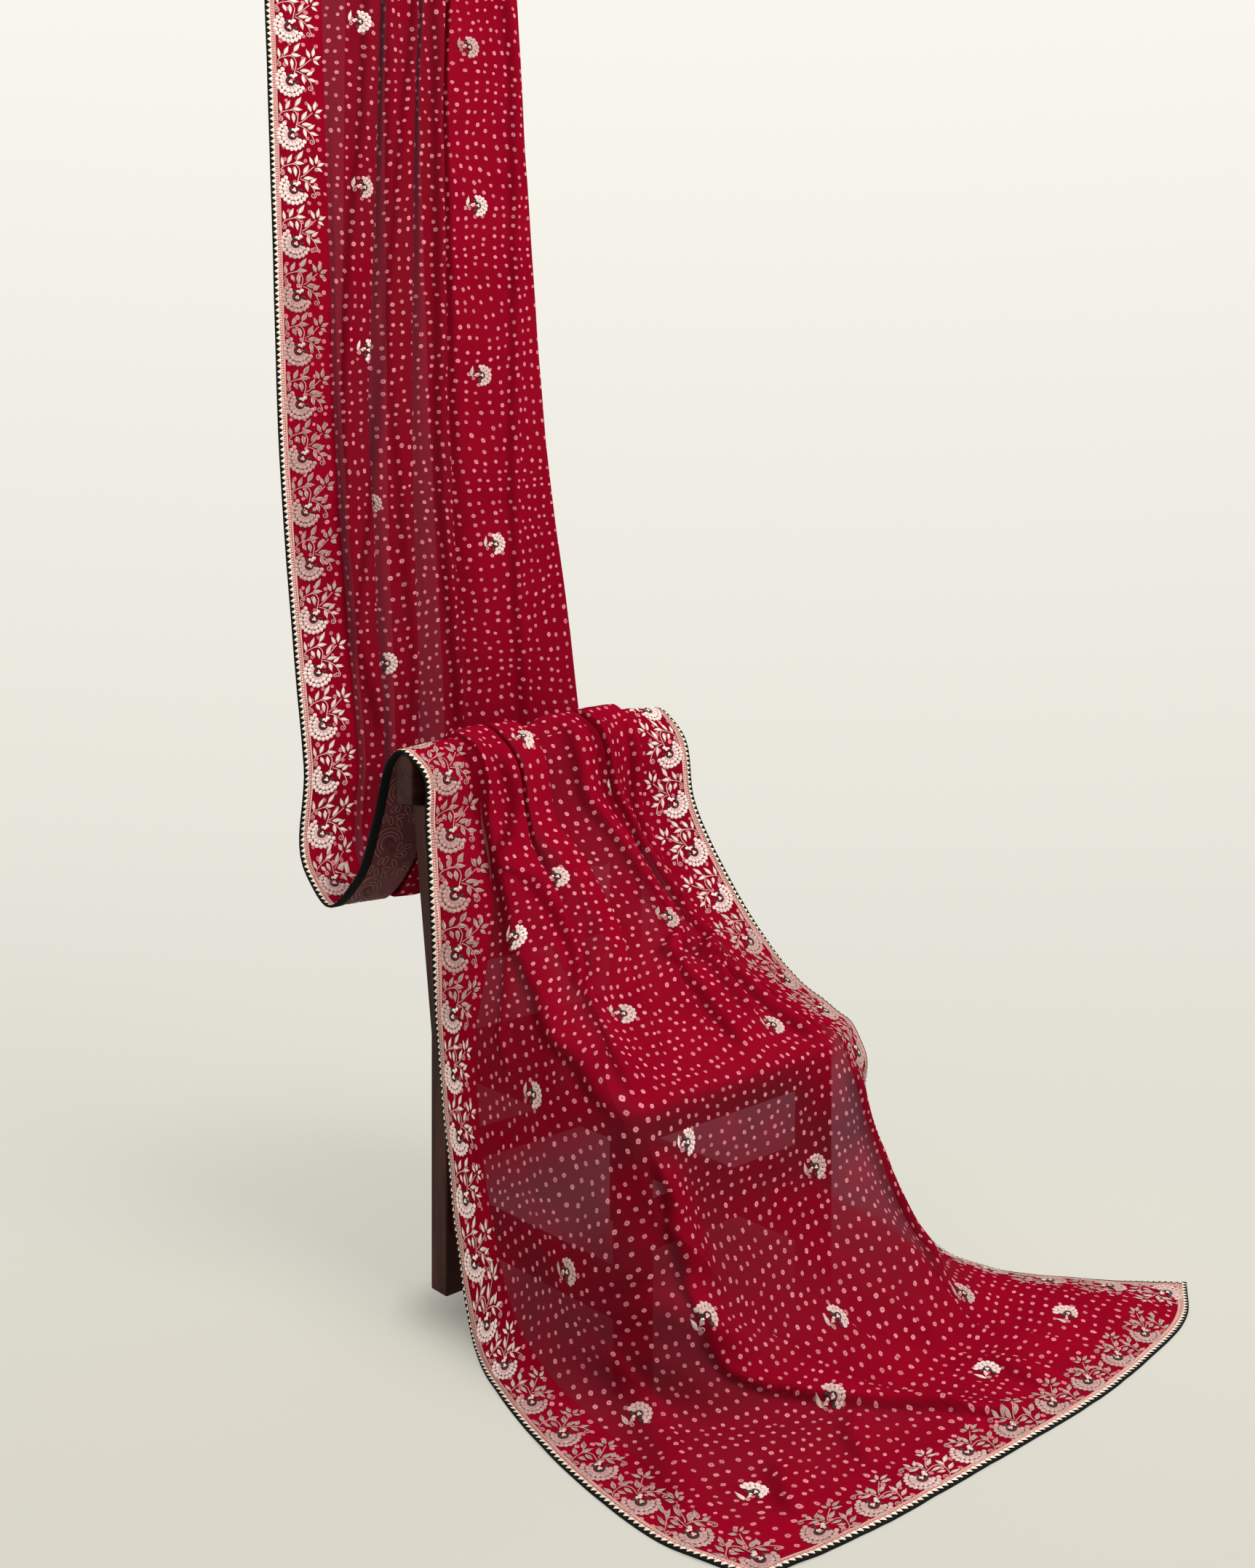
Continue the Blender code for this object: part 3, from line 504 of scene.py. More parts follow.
def bump(tree, height, strength, distance):
    """Normal of a surface raised by distance, in metres, where height is 1."""
    return node(tree, "Bump", {"Strength": strength, "Distance": distance, "Height": height}).outputs[0]


def dress(pieces, look, solid):
    """Gives the pieces a look and hides the solid that they stand for."""
    for made in pieces:
        made.data.materials.append(look)
    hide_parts(solid)


def step_between(tree, value, low, high, way="SMOOTHSTEP"):
    """Smooth 0 to 1 as value goes from low to high, or straight when way is LINEAR."""
    return node(tree, "MapRange", {0: value, 1: low, 2: high}, interpolation_type=way).outputs[0]


def mixed(tree, factor, a, b):
    """Colour a where factor is 0 and b where it is 1."""
    return node(tree, "Mix", {0: factor, 6: a, 7: b}, data_type="RGBA").outputs[2]


def group_of(name, *outputs, **values):
    """Empty node group that takes a place, and numbers with a default each, and gives numbers; returns it, its
    input and its output node."""
    g = bpy.data.node_groups.new(name, "ShaderNodeTree")
    g.interface.new_socket("Place", in_out="INPUT", socket_type="NodeSocketVector")
    for label, value in values.items():
        g.interface.new_socket(label, in_out="INPUT", socket_type="NodeSocketFloat").default_value = value
    for label in outputs:
        g.interface.new_socket(label, in_out="OUTPUT", socket_type="NodeSocketFloat")
    return g, g.nodes.new("NodeGroupInput"), g.nodes.new("NodeGroupOutput")


def place_group(tree, group, **values):
    """Places a node group in a material, with that material's own values."""
    return node(tree, "Group", values, node_tree=group)


RINGS_A_METRE, RING_LOOSE = 47.5, .45       # lattice of the rings, and how loosely they keep to it
RING_LEAST, RING_MORE = .0027, .0009        # half size of the smallest, and what the largest have more


def tied_rings():
    """Mask of the tie-dyed rings: one in each cell of a loose lattice, turned at random, a rounded square with
    an undyed wall and a dyed middle, some tied tighter than others."""
    g, given, out = group_of("tied_rings", "Ring")
    drift = node(g, "TexNoise", {"Vector": given.outputs[0], "Scale": 4.0, "Detail": 1.0})
    moved = node(g, "VectorMath", {0: drift.outputs["Color"], 1: (.5, .5, .5)}, operation="SUBTRACT").outputs[0]
    bent = node(g, "VectorMath", {0: moved, 1: (.07, .07, 0), 2: given.outputs[0]}, operation="MULTIPLY_ADD")
    flat = node(g, "VectorMath", {0: bent.outputs[0], 1: (1, 1, 0)}, operation="MULTIPLY").outputs[0]
    cell = node(g, "TexVoronoi", {"Vector": flat, "Scale": RINGS_A_METRE, "Randomness": RING_LOOSE},
                voronoi_dimensions="2D")
    off = node(g, "VectorMath", {0: flat, 1: cell.outputs["Position"]}, operation="SUBTRACT").outputs[0]
    chance = node(g, "SeparateColor", {0: cell.outputs["Color"]})
    turn = maths(g, "MULTIPLY", chance.outputs[0], 6.28)
    turned = node(g, "VectorRotate", {"Vector": off, "Angle": turn}, rotation_type="Z_AXIS").outputs[0]
    part = node(g, "SeparateXYZ", {0: turned})
    size = maths(g, "MULTIPLY_ADD", chance.outputs[1], RING_MORE, RING_LEAST)
    x, y = [maths(g, "POWER", maths(g, "ABSOLUTE", maths(g, "DIVIDE", part.outputs[k], size)), 2.8) for k in (0, 1)]
    r = maths(g, "POWER", maths(g, "ADD", x, y), .357)
    wall = maths(g, "MULTIPLY", step_between(g, r, .08, .42), step_between(g, r, 1.22, .86))
    faint = maths(g, "MULTIPLY_ADD", chance.outputs[2], .45, .6)
    g.links.new(node(g, "Clamp", {0: maths(g, "MULTIPLY", wall, faint)}).outputs[0], out.inputs[0])
    return g


def crepe():
    """Height of a crepe weave: two fine crossed threads and a pebbled grain, from a flat place in metres."""
    g, given, out = group_of("crepe", "Height", "Tone", Pitch=.0009)
    part = node(g, "SeparateXYZ", {0: given.outputs[0]})
    turns = [maths(g, "SINE", maths(g, "MULTIPLY", maths(g, "DIVIDE", part.outputs[k], given.outputs[1]), 6.283))
             for k in (0, 1)]
    grain = node(g, "TexNoise", {"Vector": given.outputs[0], "Scale": 700.0, "Detail": 2.0}).outputs[0]
    woven = maths(g, "MULTIPLY_ADD", maths(g, "MULTIPLY", turns[0], turns[1]), .25, grain)
    cloud = node(g, "TexNoise", {"Vector": given.outputs[0], "Scale": 9.0, "Detail": 3.0}).outputs[0]
    g.links.new(woven, out.inputs[0])
    g.links.new(cloud, out.inputs[1])
    return g


RINGS, CREPE = tied_rings(), crepe()
# The fuller red is partly the cloth lying double or on the lining and partly painted light, thrown back through it
# from behind and falling on it from above.
SHEER_RED, BACKED_LIT_RED, UNDYED = (.088, .0066, .0115), (.222, .0016, .0120), (.60, .22, .235)
CREASE_SHADE_RED, CREASE_SHADE_DARK = (.012, .0003, .001), .44      # painted shade in the foot of a fold: its colour, and how far it shows
SHEER_COVER = .94               # share of a single layer that its threads cover
SHEER_TINT = (.90, .66, .95)    # colour of the light that comes through between them


def dyed_cloth(name):
    """The dyed crepe: darker where it is single and sheer, fuller where a layer or the lining backs it, and brighter
    there also as painted light thrown back from behind or falling from above; a painted shade darkens the foot of
    each soft fold.  The share of the light that passes between its threads falls with the square of how much backs it."""
    m, tree, shader = new_material(name, .82, Specular_IOR_Level=0)
    place = flat_place(tree)
    rings = place_group(tree, RINGS, Place=place).outputs["Ring"]
    weave = place_group(tree, CREPE, Place=place)
    back = attribute(tree, "backed_and_lit")
    ground = mixed(tree, back, SHEER_RED, BACKED_LIT_RED)
    clouded = mixed(tree, step_between(tree, weave.outputs["Tone"], .3, .8), ground, tuple(c * .8 for c in BACKED_LIT_RED))
    dotted = mixed(tree, rings, clouded, UNDYED)
    # Painted shade: darkens the colour in the foot of each soft fold.
    dark = maths(tree, "MULTIPLY", attribute(tree, "crease_shade"), CREASE_SHADE_DARK)
    wire(shader, Base_Color=mixed(tree, dark, dotted, CREASE_SHADE_RED),
         Normal=bump(tree, weave.outputs["Height"], .25, .0004))
    bare = maths(tree, "MULTIPLY", maths(tree, "POWER", maths(tree, "SUBTRACT", 1.0, back), 2.0), 1 - SHEER_COVER)
    seen = maths(tree, "MAXIMUM", maths(tree, "SUBTRACT", 1.0, bare), rings)
    between = node(tree, "BsdfTransparent", {"Color": SHEER_TINT})
    woven = node(tree, "MixShader", {0: seen, 1: between.outputs[0], 2: shader.outputs[0]})
    tree.links.new(woven.outputs[0], tree.nodes["Material Output"].inputs["Surface"])
    return m


dress([cloth], dyed_cloth("tie_dyed_crepe"), "cloth")

# ------------------------------------------------------------------ what is sewn on
# Everything stitched to the cloth is laid out flat, in metres of cloth, and then carried onto the folded sheet
# through the lattice, a little above its face or below its back.
def row_of(u, v):
    """Row number at the length u along the line v of the cloth; v is one number."""
    return np.interp(u, FLAT_U[:, int(round(v / CELL))], ROW_NUMBER)


def on_cloth(row, v, lift):
    """Point on the folded cloth: bilinear between lattice points, moved along the normal by lift, and carried on
    straight past a hem."""
    i = np.clip(row.astype(int), 0, ROWS - 2)
    j = np.clip((v / CELL).astype(int), 0, len(FLAT_V) - 2)
    a, b = (row - i)[..., None], (v / CELL - j)[..., None]
    row_at = lambda f, i, b: f[i, j] * (1 - b) + f[i, j + 1] * b
    between = lambda f, b: row_at(f, i, b) * (1 - a) + row_at(f, i + 1, b) * a
    return between(FLAT_POINTS, b) + between(FLAT_NORMALS, np.clip(b, 0, 1)) * lift[..., None]


SIDES = ("left", "right", "end")
BRAID_MIDDLE, BORDER_MIDDLE = .012, .05      # in from a long hem, where lengths along it are measured
PAST_HEM, PAST_END = .001, .3   # how far a strip runs past the sheet: metres along the end, rows along a long hem
END_STEPS, ROW_REACH = 230, .004    # points of a strip along the end, and the metres of one row over its edge


def inward(side, near):
    """Distance from the left hem of a place that lies near metres in from a long hem."""
    return near if side == "left" else SHEET_W - near


def length_beside(side, near):
    """Length along the cloth at each row, near metres in from a long hem."""
    line = int(near / CELL)
    return FLAT_U[:, line if side == "left" else -1 - line]


def copies(grid, count):
    """The same grid, count times over."""
    return np.repeat(grid[None], count, 0)


def strip(name, profile, side, closed):
    """Profile, given as (distance in from the hem, lift), carried along one hem: side is left, right or end."""
    p = np.array(profile)
    p = np.concatenate([p, p[:1]]) if closed else p
    if side == "end":
        v = np.linspace(-PAST_HEM, SHEET_W + PAST_HEM, END_STEPS)
        v_in = np.clip(v, 0, SHEET_W - 1e-6)
        row = np.array([row_of(p[:, 0].clip(0), x) for x in v_in]) + np.minimum(p[:, 0], 0) / ROW_REACH
        v, lift, length = np.repeat(v[:, None], len(p), 1), copies(p[:, 1], len(v)), v
    else:
        row = np.repeat(np.linspace(-PAST_END, ROWS - 1, 2 * ROWS)[:, None], len(p), 1)
        v, lift = copies(inward(side, p[:, 0]), len(row)), copies(p[:, 1], len(row))
        length = np.interp(row[:, 0], ROW_NUMBER, length_beside(side, BRAID_MIDDLE))
    points = on_cloth(row, v, lift)
    turn = copies(arc(p), len(points))
    uv = np.stack([np.repeat(length[:, None], len(p), 1), turn], axis=-1)
    return piece(name, points, grid_faces(*points.shape[:2], flip=side == "left"), uv)


# ------------------------------------------------------------------ lining
# Plain red crepe strip behind the border, from the binding inward, that backs the stitches and keeps them off
# the sheer ground.  It is caught in the binding at the hem and held by the stitches that go through both.
LINING_LIFT, LINING_FROM = -.0013, .014
LINING_RED, LINING_SHADE = (.12, .0085, .0130), (.080, .0055, .0090)
inner = [(d, LINING_LIFT) for d in np.linspace(LINING_FROM, BAND, 14)]
linings = [strip("lining_" + side, inner, side, closed=False) for side in SIDES]
lining_look, tree, shader = new_material("lining_crepe", .8, Sheen_Weight=.1)
weave = place_group(tree, CREPE, Place=flat_place(tree))
wire(shader, Base_Color=mixed(tree, step_between(tree, weave.outputs["Tone"], .3, .75), LINING_RED, LINING_SHADE),
     Normal=bump(tree, weave.outputs["Height"], .3, .0004))
dress(linings, lining_look, "facing")

# ------------------------------------------------------------------ binding
# Narrow strip of black cotton along both long hems and the end.  It is folded over the raw edge and stitched down:
# 6 mm shows on the face and 16 mm on the back.
BIND_FACE, BIND_BACK, BIND_T = .006, .0165, .0008
profile = [(BIND_FACE, .0006), (BIND_FACE, .0006 + BIND_T), (.0025, .0008 + BIND_T), (-.0008, .0012),
           (-.0012, -.0002), (-.0008, -.0018), (.003, -.0022 - BIND_T), (.009, -.0019 - BIND_T),
           (BIND_BACK, -.0016 - BIND_T), (BIND_BACK, -.0016), (.004, -.0016), (.0004, -.0008), (.0004, .0004)]
bindings = [strip("binding_" + side, profile, side, closed=True) for side in SIDES]
binding_look, tree, shader = new_material("black_cotton", .85, Specular_IOR_Level=.1)
weave = place_group(tree, CREPE, Place=flat_place(tree), Pitch=.0012)
wire(shader, Base_Color=mixed(tree, weave.outputs["Tone"], (.0022, .0022, .0026), (.0085, .008, .009)),
     Normal=bump(tree, weave.outputs["Height"], .5, .0005))
dress(bindings, binding_look, "binding")

# ------------------------------------------------------------------ braid
# Narrow woven braid of pinkish metal thread, sewn on the face beside the binding: an edge cord, a chain of loops
# with the red cloth between them, and a second cord.
BRAID_IN, BRAID_TWIST, BRAID_LOOP = .0062, .0022, .0046     # inner edge, pitch of the cords and of the loops
# A cord of the braid in section: flat on top, half as wide there as at its foot.
cord = lambda middle, half_w, top: [(middle - half_w, .0008), (middle - half_w * .5, top), (middle + half_w * .5, top),
                                    (middle + half_w, .0008)]
profile = [(BRAID_IN, .0004)] + cord(.0075, .0011, .0017) + cord(.0118, .0024, .0013) + cord(.0157, .0008, .0016)
braids = [strip("braid_" + side, profile, side, closed=False) for side in SIDES]
braid_look, tree, shader = new_material("metal_braid", .42)
part = node(tree, "SeparateXYZ", {0: flat_place(tree)})
slanted = maths(tree, "MULTIPLY_ADD", part.outputs[1], .5, part.outputs[0])
twist = maths(tree, "SINE", maths(tree, "MULTIPLY", slanted, 6.283 / BRAID_TWIST))
loops = maths(tree, "SINE", maths(tree, "MULTIPLY", part.outputs[0], 6.283 / BRAID_LOOP))
middle = maths(tree, "COMPARE", part.outputs[1], .0062, .0022)
hole = maths(tree, "MULTIPLY", step_between(tree, loops, .35, .8), middle)
thread = mixed(tree, step_between(tree, twist, -.8, .8), (.42, .17, .15), (.80, .50, .44))
wire(shader, Base_Color=mixed(tree, hole, thread, (.25, .01, .02)), Normal=bump(tree, twist, .6, .0006),
     Metallic=maths(tree, "MULTIPLY_ADD", hole, -.55, .55))
dress(braids, braid_look, "braid")

# ------------------------------------------------------------------ points
# Row of small triangles of cream ribbon on the black binding, each folded to a ridge and sewn down by its base,
# with its tip at the hem.
POINT_PITCH, POINT_SIZE = .0102, .0068
POINT_WIDE, POINT_BLUNT = .92, .06      # share of the pitch that its base takes, and what its tip keeps of that
POINT_LIFT, POINT_RIDGE = .0022, .0012  # height of its sides over the cloth, and of its ridge over them


def border_place(side, near, far):
    """Flat places beside a hem: near is the distance in from the hem, far the length along it; gives row and v."""
    if side == "end":
        return np.interp(near, FLAT_U[:, len(FLAT_V) // 2], ROW_NUMBER), far
    return np.interp(far, length_beside(side, BORDER_MIDDLE), ROW_NUMBER), inward(side, near)


def hem_length(side):
    """Metres of cloth along one hem, read where the border's own lengths are measured."""
    return SHEET_W if side == "end" else length_beside(side, BORDER_MIDDLE)[-1]


def sewn(name, patches, look, slot):
    """One mesh from many like patches: each is (points, uv, rim, glint) with points of shape (count, n, m, 3)."""
    points, uv = [np.concatenate([p[k].reshape(-1, *p[k].shape[-3:]) for p in patches]) for k in (0, 1)]
    rim, glint = [np.concatenate([p[k].reshape(-1, *p[k].shape[-2:]) for p in patches]) for k in (2, 3)]
    count, n, m = points.shape[:3]
    quads = grid_faces(n, m, flip=slot == "braid")[None] + (np.arange(count) * n * m)[:, None, None]
    made = piece(name, points, quads.reshape(-1, 4), uv, {"rim": rim, "glint": glint})
    made.data.materials.append(look)
    return made


def point_row(side):
    """Folded triangles: a ridge from the tip at the hem to the middle of the base, with two faces falling away."""
    far = np.arange(POINT_PITCH, hem_length(side) - POINT_PITCH / 2, POINT_PITCH)
    across_line = np.array([-.5, -.25, 0, .25, .5])
    deep = np.array([0, .5, 1])
    near = np.repeat((.0004 + POINT_SIZE * deep)[:, None], 5, 1)
    wide = POINT_PITCH * POINT_WIDE * across_line * (deep[:, None] * (1 - POINT_BLUNT) + POINT_BLUNT)
    lift = POINT_LIFT + POINT_RIDGE * (1 - 2 * np.abs(across_line)) * (.4 + .6 * deep[:, None])
    row, v = border_place(side, copies(near, len(far)), far[:, None, None] + wide)
    points = on_cloth(row, v, copies(lift, len(far)))
    uv = copies(np.stack([wide, near], axis=-1), len(far))
    return points, uv, lift + 0 * uv[..., 0], 1 + 0 * uv[..., 0]


points_look, tree, shader = new_material("cream_points", .5, Metallic=.25)
rib = node(tree, "TexWave", {"Vector": flat_place(tree), "Scale": 520.0, "Distortion": .4},
           bands_direction="DIAGONAL").outputs[1]
wire(shader, Base_Color=mixed(tree, rib, (.60, .49, .36), (.86, .77, .63)), Normal=bump(tree, rib, .4, .0004))
points_obj = sewn("hem_points", [point_row(side) for side in SIDES], points_look, "binding")

# ------------------------------------------------------------------ embroidery
# Metal thread worked by hand: satin-stitched leaves on couched stems, round flowers with two rings of scallops,
# a dark hook and a small floret in each, and single flowers scattered over the ground.
REPEAT = .0985          # of the border along a hem
LEAF_N, LEAF_M = 7, 5


def leaf_grid(length, width, blunt):
    """Flat outline of a leaf or scallop on a grid: half width is a sine of the length, pointed when blunt is low;
    the height is a rounded dome with a groove along the middle of a pointed leaf."""
    s, w = np.meshgrid(np.linspace(0, 1, LEAF_N), np.linspace(-1, 1, LEAF_M), indexing="ij")
    bend = np.clip(s, .02, .985) ** (.80 if blunt < .5 else 1)
    half_width = width / 2 * np.sin(np.pi * bend) ** (1.15 - .75 * blunt)
    dome = (1 - .8 * w ** 2) * np.sin(np.pi * np.clip(s, .03, .97)) ** .6
    groove = 1 - (1 - blunt) * .45 * np.exp(-(w / .3) ** 2)
    return s * length, w * half_width, dome * groove, s, w


def turned(x, y, angle):
    """Places turned about the origin by angle, in radians: x cos - y sin and x sin + y cos."""
    c, s = np.cos(angle), np.sin(angle)
    return x * c - y * s, x * s + y * c


def leaves(rows, blunt=0., height=.0013, side_lift=.0006):
    """Rows of (near, far, angle in degrees, length, width) as stacked grids of near, far, lift and uv."""
    made = []
    for near, far, angle, length, width in rows:
        x, y, h, s, w = leaf_grid(length, width, blunt)
        dx, dy = turned(x, y, np.radians(angle))
        made.append((near + dx, far + dy, side_lift + height * h, s * length, w * width / 2, np.abs(w)))
    return [np.stack(k) for k in zip(*made)]


def ribbons(curves, width=.0011, height=.0009, count=13, lift_from=.0006):
    """Raised cords along curves given as arrays of (near, far): a half-round strip of three points across."""
    made = []
    for curve in curves:
        c = np.array(curve, float)
        run = np.concatenate([[0], np.cumsum(np.hypot(*np.diff(c, axis=0).T))])
        at = np.linspace(0, run[-1], count)
        line = through(c, run, at)
        tangent = np.gradient(line, axis=0)
        tangent /= np.linalg.norm(tangent, axis=1, keepdims=True)
        side = np.stack([-tangent[:, 1], tangent[:, 0]], axis=1) * width / 2
        k = np.array([-1, 0, 1])
        near = line[:, 0, None] + side[:, 0, None] * k
        far = line[:, 1, None] + side[:, 1, None] * k
        lift = lift_from + height * (1 - .8 * np.abs(k))[None] * np.ones((count, 1))
        made.append((near, far, lift, np.repeat(at[:, None], 3, 1), np.repeat(k[None] * width / 2, count, 0),
                     np.repeat(np.abs(k)[None], count, 0)))
    return [np.stack(k) for k in zip(*made)]


def ring_rows(near, far, radius, count, length, width, start=0, sweep=360):
    """Scallops set round a centre, pointing outward: rows for leaves()."""
    angles = start + sweep * (np.arange(count) + .5) / count
    a = np.radians(angles)
    r = radius - length / 2
    return [(near + r * np.cos(t), far + r * np.sin(t), d, length, width) for t, d in zip(a, angles)]


def circle(near, far, radius, start, sweep, count=9, shrink=0.):
    """Arc or spiral as (near, far) points; the radius shrinks by that share towards its end."""
    t = np.radians(start + sweep * np.linspace(0, 1, count))
    r = radius * (1 - shrink * np.linspace(0, 1, count))
    return np.stack([near + r * np.cos(t), far + r * np.sin(t)], axis=1)


FLOWER = (.0410, .0330)          # centre of the border's flower: in from the hem, along the repeat
border_beads = (ring_rows(*FLOWER, .0248, 13, .0080, .0088, 115, 230)
                + ring_rows(*FLOWER, .0168, 9, .0078, .0088, 121, 220))
border_leaves = [
    # near, far, turn, length, width: the sprig beside the braid
    (.0225, .0740, 98, .0180, .0068), (.0310, .0800, 64, .0195, .0078), (.0490, .0880, 56, .0210, .0084),
    (.0440, .0820, 0, .0185, .0076), (.0320, .0735, -66, .0140, .0072), (.0445, .0745, -86, .0180, .0074),
    # the star, and the leaf below it
    (.0840, .0830, 80, .0175, .0074), (.0785, .0800, 112, .0170, .0072), (.0865, .0785, 28, .0155, .0070),
    (.0850, .0755, -30, .0130, .0064), (.0600, .0630, 58, .0205, .0082),
    # the spray over the flower
    (.0600, .0545, 6, .0200, .0076), (.0720, .0470, 36, .0160, .0074), (.0640, .0480, -78, .0180, .0074),
    (.0745, .0410, -14, .0170, .0070),
]
border_stems = [
    [(.0180, .0680), (.0230, .0735), (.0330, .0775), (.0460, .0790), (.0530, .0700), (.0510, .0560), (.0480, .0450)],
    [(.0350, .0780), (.0430, .0810), (.0500, .0880)],
    [(.0540, .0560), (.0620, .0610), (.0720, .0700), (.0810, .0780)],
    [(.0530, .0530), (.0620, .0500), (.0710, .0440), (.0780, .0360), (.0820, .0270)],
    circle(.0205, .0620, .0050, 120, -560, 15, .75),
    circle(.0780, .0240, .0055, 40, -520, 15, .75),
]
border_fans = [circle(*FLOWER, .0112, 126, 216, 15)]
border_hooks = [circle(.0418, .0325, .0070, 120, 240, 13)]
border_drops = [(.0370, .0390, 76, .0086, .0052), (.0495, .0318, 12, .0082, .0048)]
border_florets = [(.0418, .0325, a, .0042, .0046) for a in (75, 195, 315)] + [
    (.0396, .0428, 12, .0075, .0054), (.0470, .0448, 8, .0076, .0072), (.0448, .0395, 40, .0060, .0052)]


def eased(values, half_rows=2, half_cells=8):
    """Mean over the window round each lattice point, so that a sharp fold doesn't skew what lies over it."""
    for half in (half_rows, half_cells):
        held = np.pad(values, ((half, half), (0, 0)), mode="edge")
        values = np.mean([held[k:k + len(values)] for k in range(2 * half, -1, -1)], axis=0).T
    return values


SIZE_R, SIZE_V = np.linalg.norm(STEP_ROW, axis=2), np.linalg.norm(STEP_V, axis=2)
LEAN = eased((STEP_ROW * STEP_V).sum(axis=2) / np.maximum(SIZE_R * SIZE_V, 1e-9))     # cosine of the corner angle
SIZE_R, SIZE_V = eased(SIZE_R), eased(SIZE_V)


def lattice_at(values, row, v):
    """Values at the lattice points nearest to row numbers and places across, shaped to go with stacked grids."""
    i = np.clip(np.round(row), 0, ROWS - 1).astype(int)
    return values[i, np.clip(np.round(v / CELL), 0, len(FLAT_V) - 1).astype(int)][:, None, None, None]


# Painted highlight of the metal thread along each hem, where it catches the light, as (metres from the hem's first
# end, share).
GLINT = {"left": ((.50, .25), (.64, 1), (1.16, 1), (1.28, .2), (1.70, .25), (2.10, .6), (2.20, 1), (2.55, 1),
                  (2.70, .25), (3.20, .2), (3.34, 1)),
         "right": ((.05, .6), (.15, .15), (1.08, .2), (1.22, 1), (1.75, 1), (2.0, .3)),
         "end": ((.15, .25), (.40, .8), (.50, .25), (1.0, .3))}


def along_borders(made):
    """The elements of one repeat, carried along the three hems; each repeat is kept square to its own hem where
    the rows of the lattice lean."""
    near, far, lift, s, w, rim = made
    patches = []
    for side in SIDES:
        first, last = (.11, .11) if side == "end" else (0, .02)
        shift = first + REPEAT * np.arange(int((hem_length(side) - first - last) / REPEAT))
        whole = lambda a: copies(a, len(shift))
        ahead = far[None] + shift[:, None, None, None]
        row, v = border_place(side, whole(near), ahead)
        middle = border_place(side, np.full(len(shift), FLOWER[0]), shift + FLOWER[1])
        skew = (whole(near) - FLOWER[0]) * lattice_at(LEAN, *middle)
        if side == "end":
            v = v - skew
        else:
            row = row - skew * (1 if side == "left" else -1) / lattice_at(SIZE_R, *middle)
        points = on_cloth(np.clip(row, -.2, ROWS - 1), v, whole(lift))
        points = points[..., ::-1, :] if side == "left" else points
        glint = np.interp(ahead, *np.array(GLINT[side]).T)
        patches.append((points, whole(np.stack([s, w], axis=-1)), whole(rim), glint))
    return patches


# The single flowers over the ground, as (metres from the loose end, metres from the left hem).
GROUND_FLOWERS = np.array([
    (3.66, .175), (3.35, .172), (3.05, .178), (2.76, .275), (2.46, .265), (2.16, .26), (1.86, .26),
    (3.64, .755), (3.32, .737), (2.99, .711), (2.67, .694), (2.36, .640), (2.05, .62), (1.76, .62),
    (3.49, .960), (3.18, .950), (2.86, .940), (2.54, .930), (2.22, .92), (1.93, .93),
    (1.617, .356), (1.228, .165), (1.337, .336), (1.208, .621), (.909, .270), (1.037, .491), (.898, .821),
    (.774, .564), (.645, .806), (.644, .279), (.488, .397), (.399, .618), (.188, .723), (.263, .439),
    (.410, .175), (.165, .180), (1.50, .640), (1.47, .900), (1.20, .900), (.34, .930), (.17, .950)])
ground_beads = ring_rows(0, 0, .0172, 9, .0078, .0086, -111, 220) + ring_rows(0, 0, .0108, 6, .0066, .0076, -108, 214)
ground_leaves = [(-.0235, .0, 74, .0205, .0078), (-.0085, .0012, 180, .0090, .0072)]
ground_stems = [[(-.0060, .0010), (-.0140, .0014), (-.0235, .0003)], circle(-.0200, -.0050, .0040, 130, -480, 13, .7)]
ground_fans = [circle(0, 0, .0076, -100, 200, 15)]
ground_hooks = [circle(-.0004, 0, .0060, 138, -276, 13)]
ground_drops = [(-.0036, .0062, 146, .0074, .0046), (-.0046, -.0060, 236, .0084, .0050)]
ground_florets = [(0, 0, a, .0038, .0042) for a in (60, 180, 300)] + [(-.0058, .0024, 160, .0056, .0048)]
# Painted highlight of each single flower, at random.
GROUND_GLINT = np.random.default_rng(4).uniform(.25, 1, len(GROUND_FLOWERS))


def over_ground(made):
    """The elements of a single flower, laid square at each of its places, its stem towards the left hem."""
    near, far, lift, s, w, rim = made
    v0 = GROUND_FLOWERS[:, 1]
    row0 = np.array([row_of(u, v) for u, v in GROUND_FLOWERS])
    lean, size_r, size_v = [lattice_at(values, row0, v0) for values in (LEAN, SIZE_R, SIZE_V)]
    upright = np.sqrt(1 - lean ** 2)
    v = v0[:, None, None, None] + near[None] / size_v / upright
    row = row0[:, None, None, None] + (far[None] - near[None] * lean / upright) / size_r
    whole = lambda a: copies(a, len(row0))
    points = on_cloth(np.clip(row, 0, ROWS - 1), v, whole(lift))[..., ::-1, :]
    glint = np.broadcast_to(GROUND_GLINT[:, None, None, None], whole(rim).shape)
    return [(points, whole(np.stack([s, w], axis=-1)), whole(rim), glint)]


def outline(near, far, angle, length, width):
    """Closed curve round a leaf, as (near, far) points."""
    t = np.linspace(0, 2 * np.pi, 9)
    x, y = turned(length * (1 - np.cos(t)) / 2, width / 2 * np.sin(t), np.radians(angle))
    return np.stack([near + x, far + y], axis=1)


# On the back only the outlines come through the lining, in a duller thread, and the dark hooks.
reverse_lines = ([outline(*leaf) for leaf in border_leaves]
                 + [circle(*FLOWER, r, 115, 230, 13) for r in (.0145, .0212, .0285)])
reverse_hooks = [circle(.0420, .0322, .0064, 100, 260, 13), circle(.0500, .0400, .0060, 30, 150, 13)]
BACK_LIFT = LINING_LIFT - .0003
GLOW = .10              # painted glow: emission that makes the thread look brighter where its painted highlight is
THREAD_PITCH = .00075


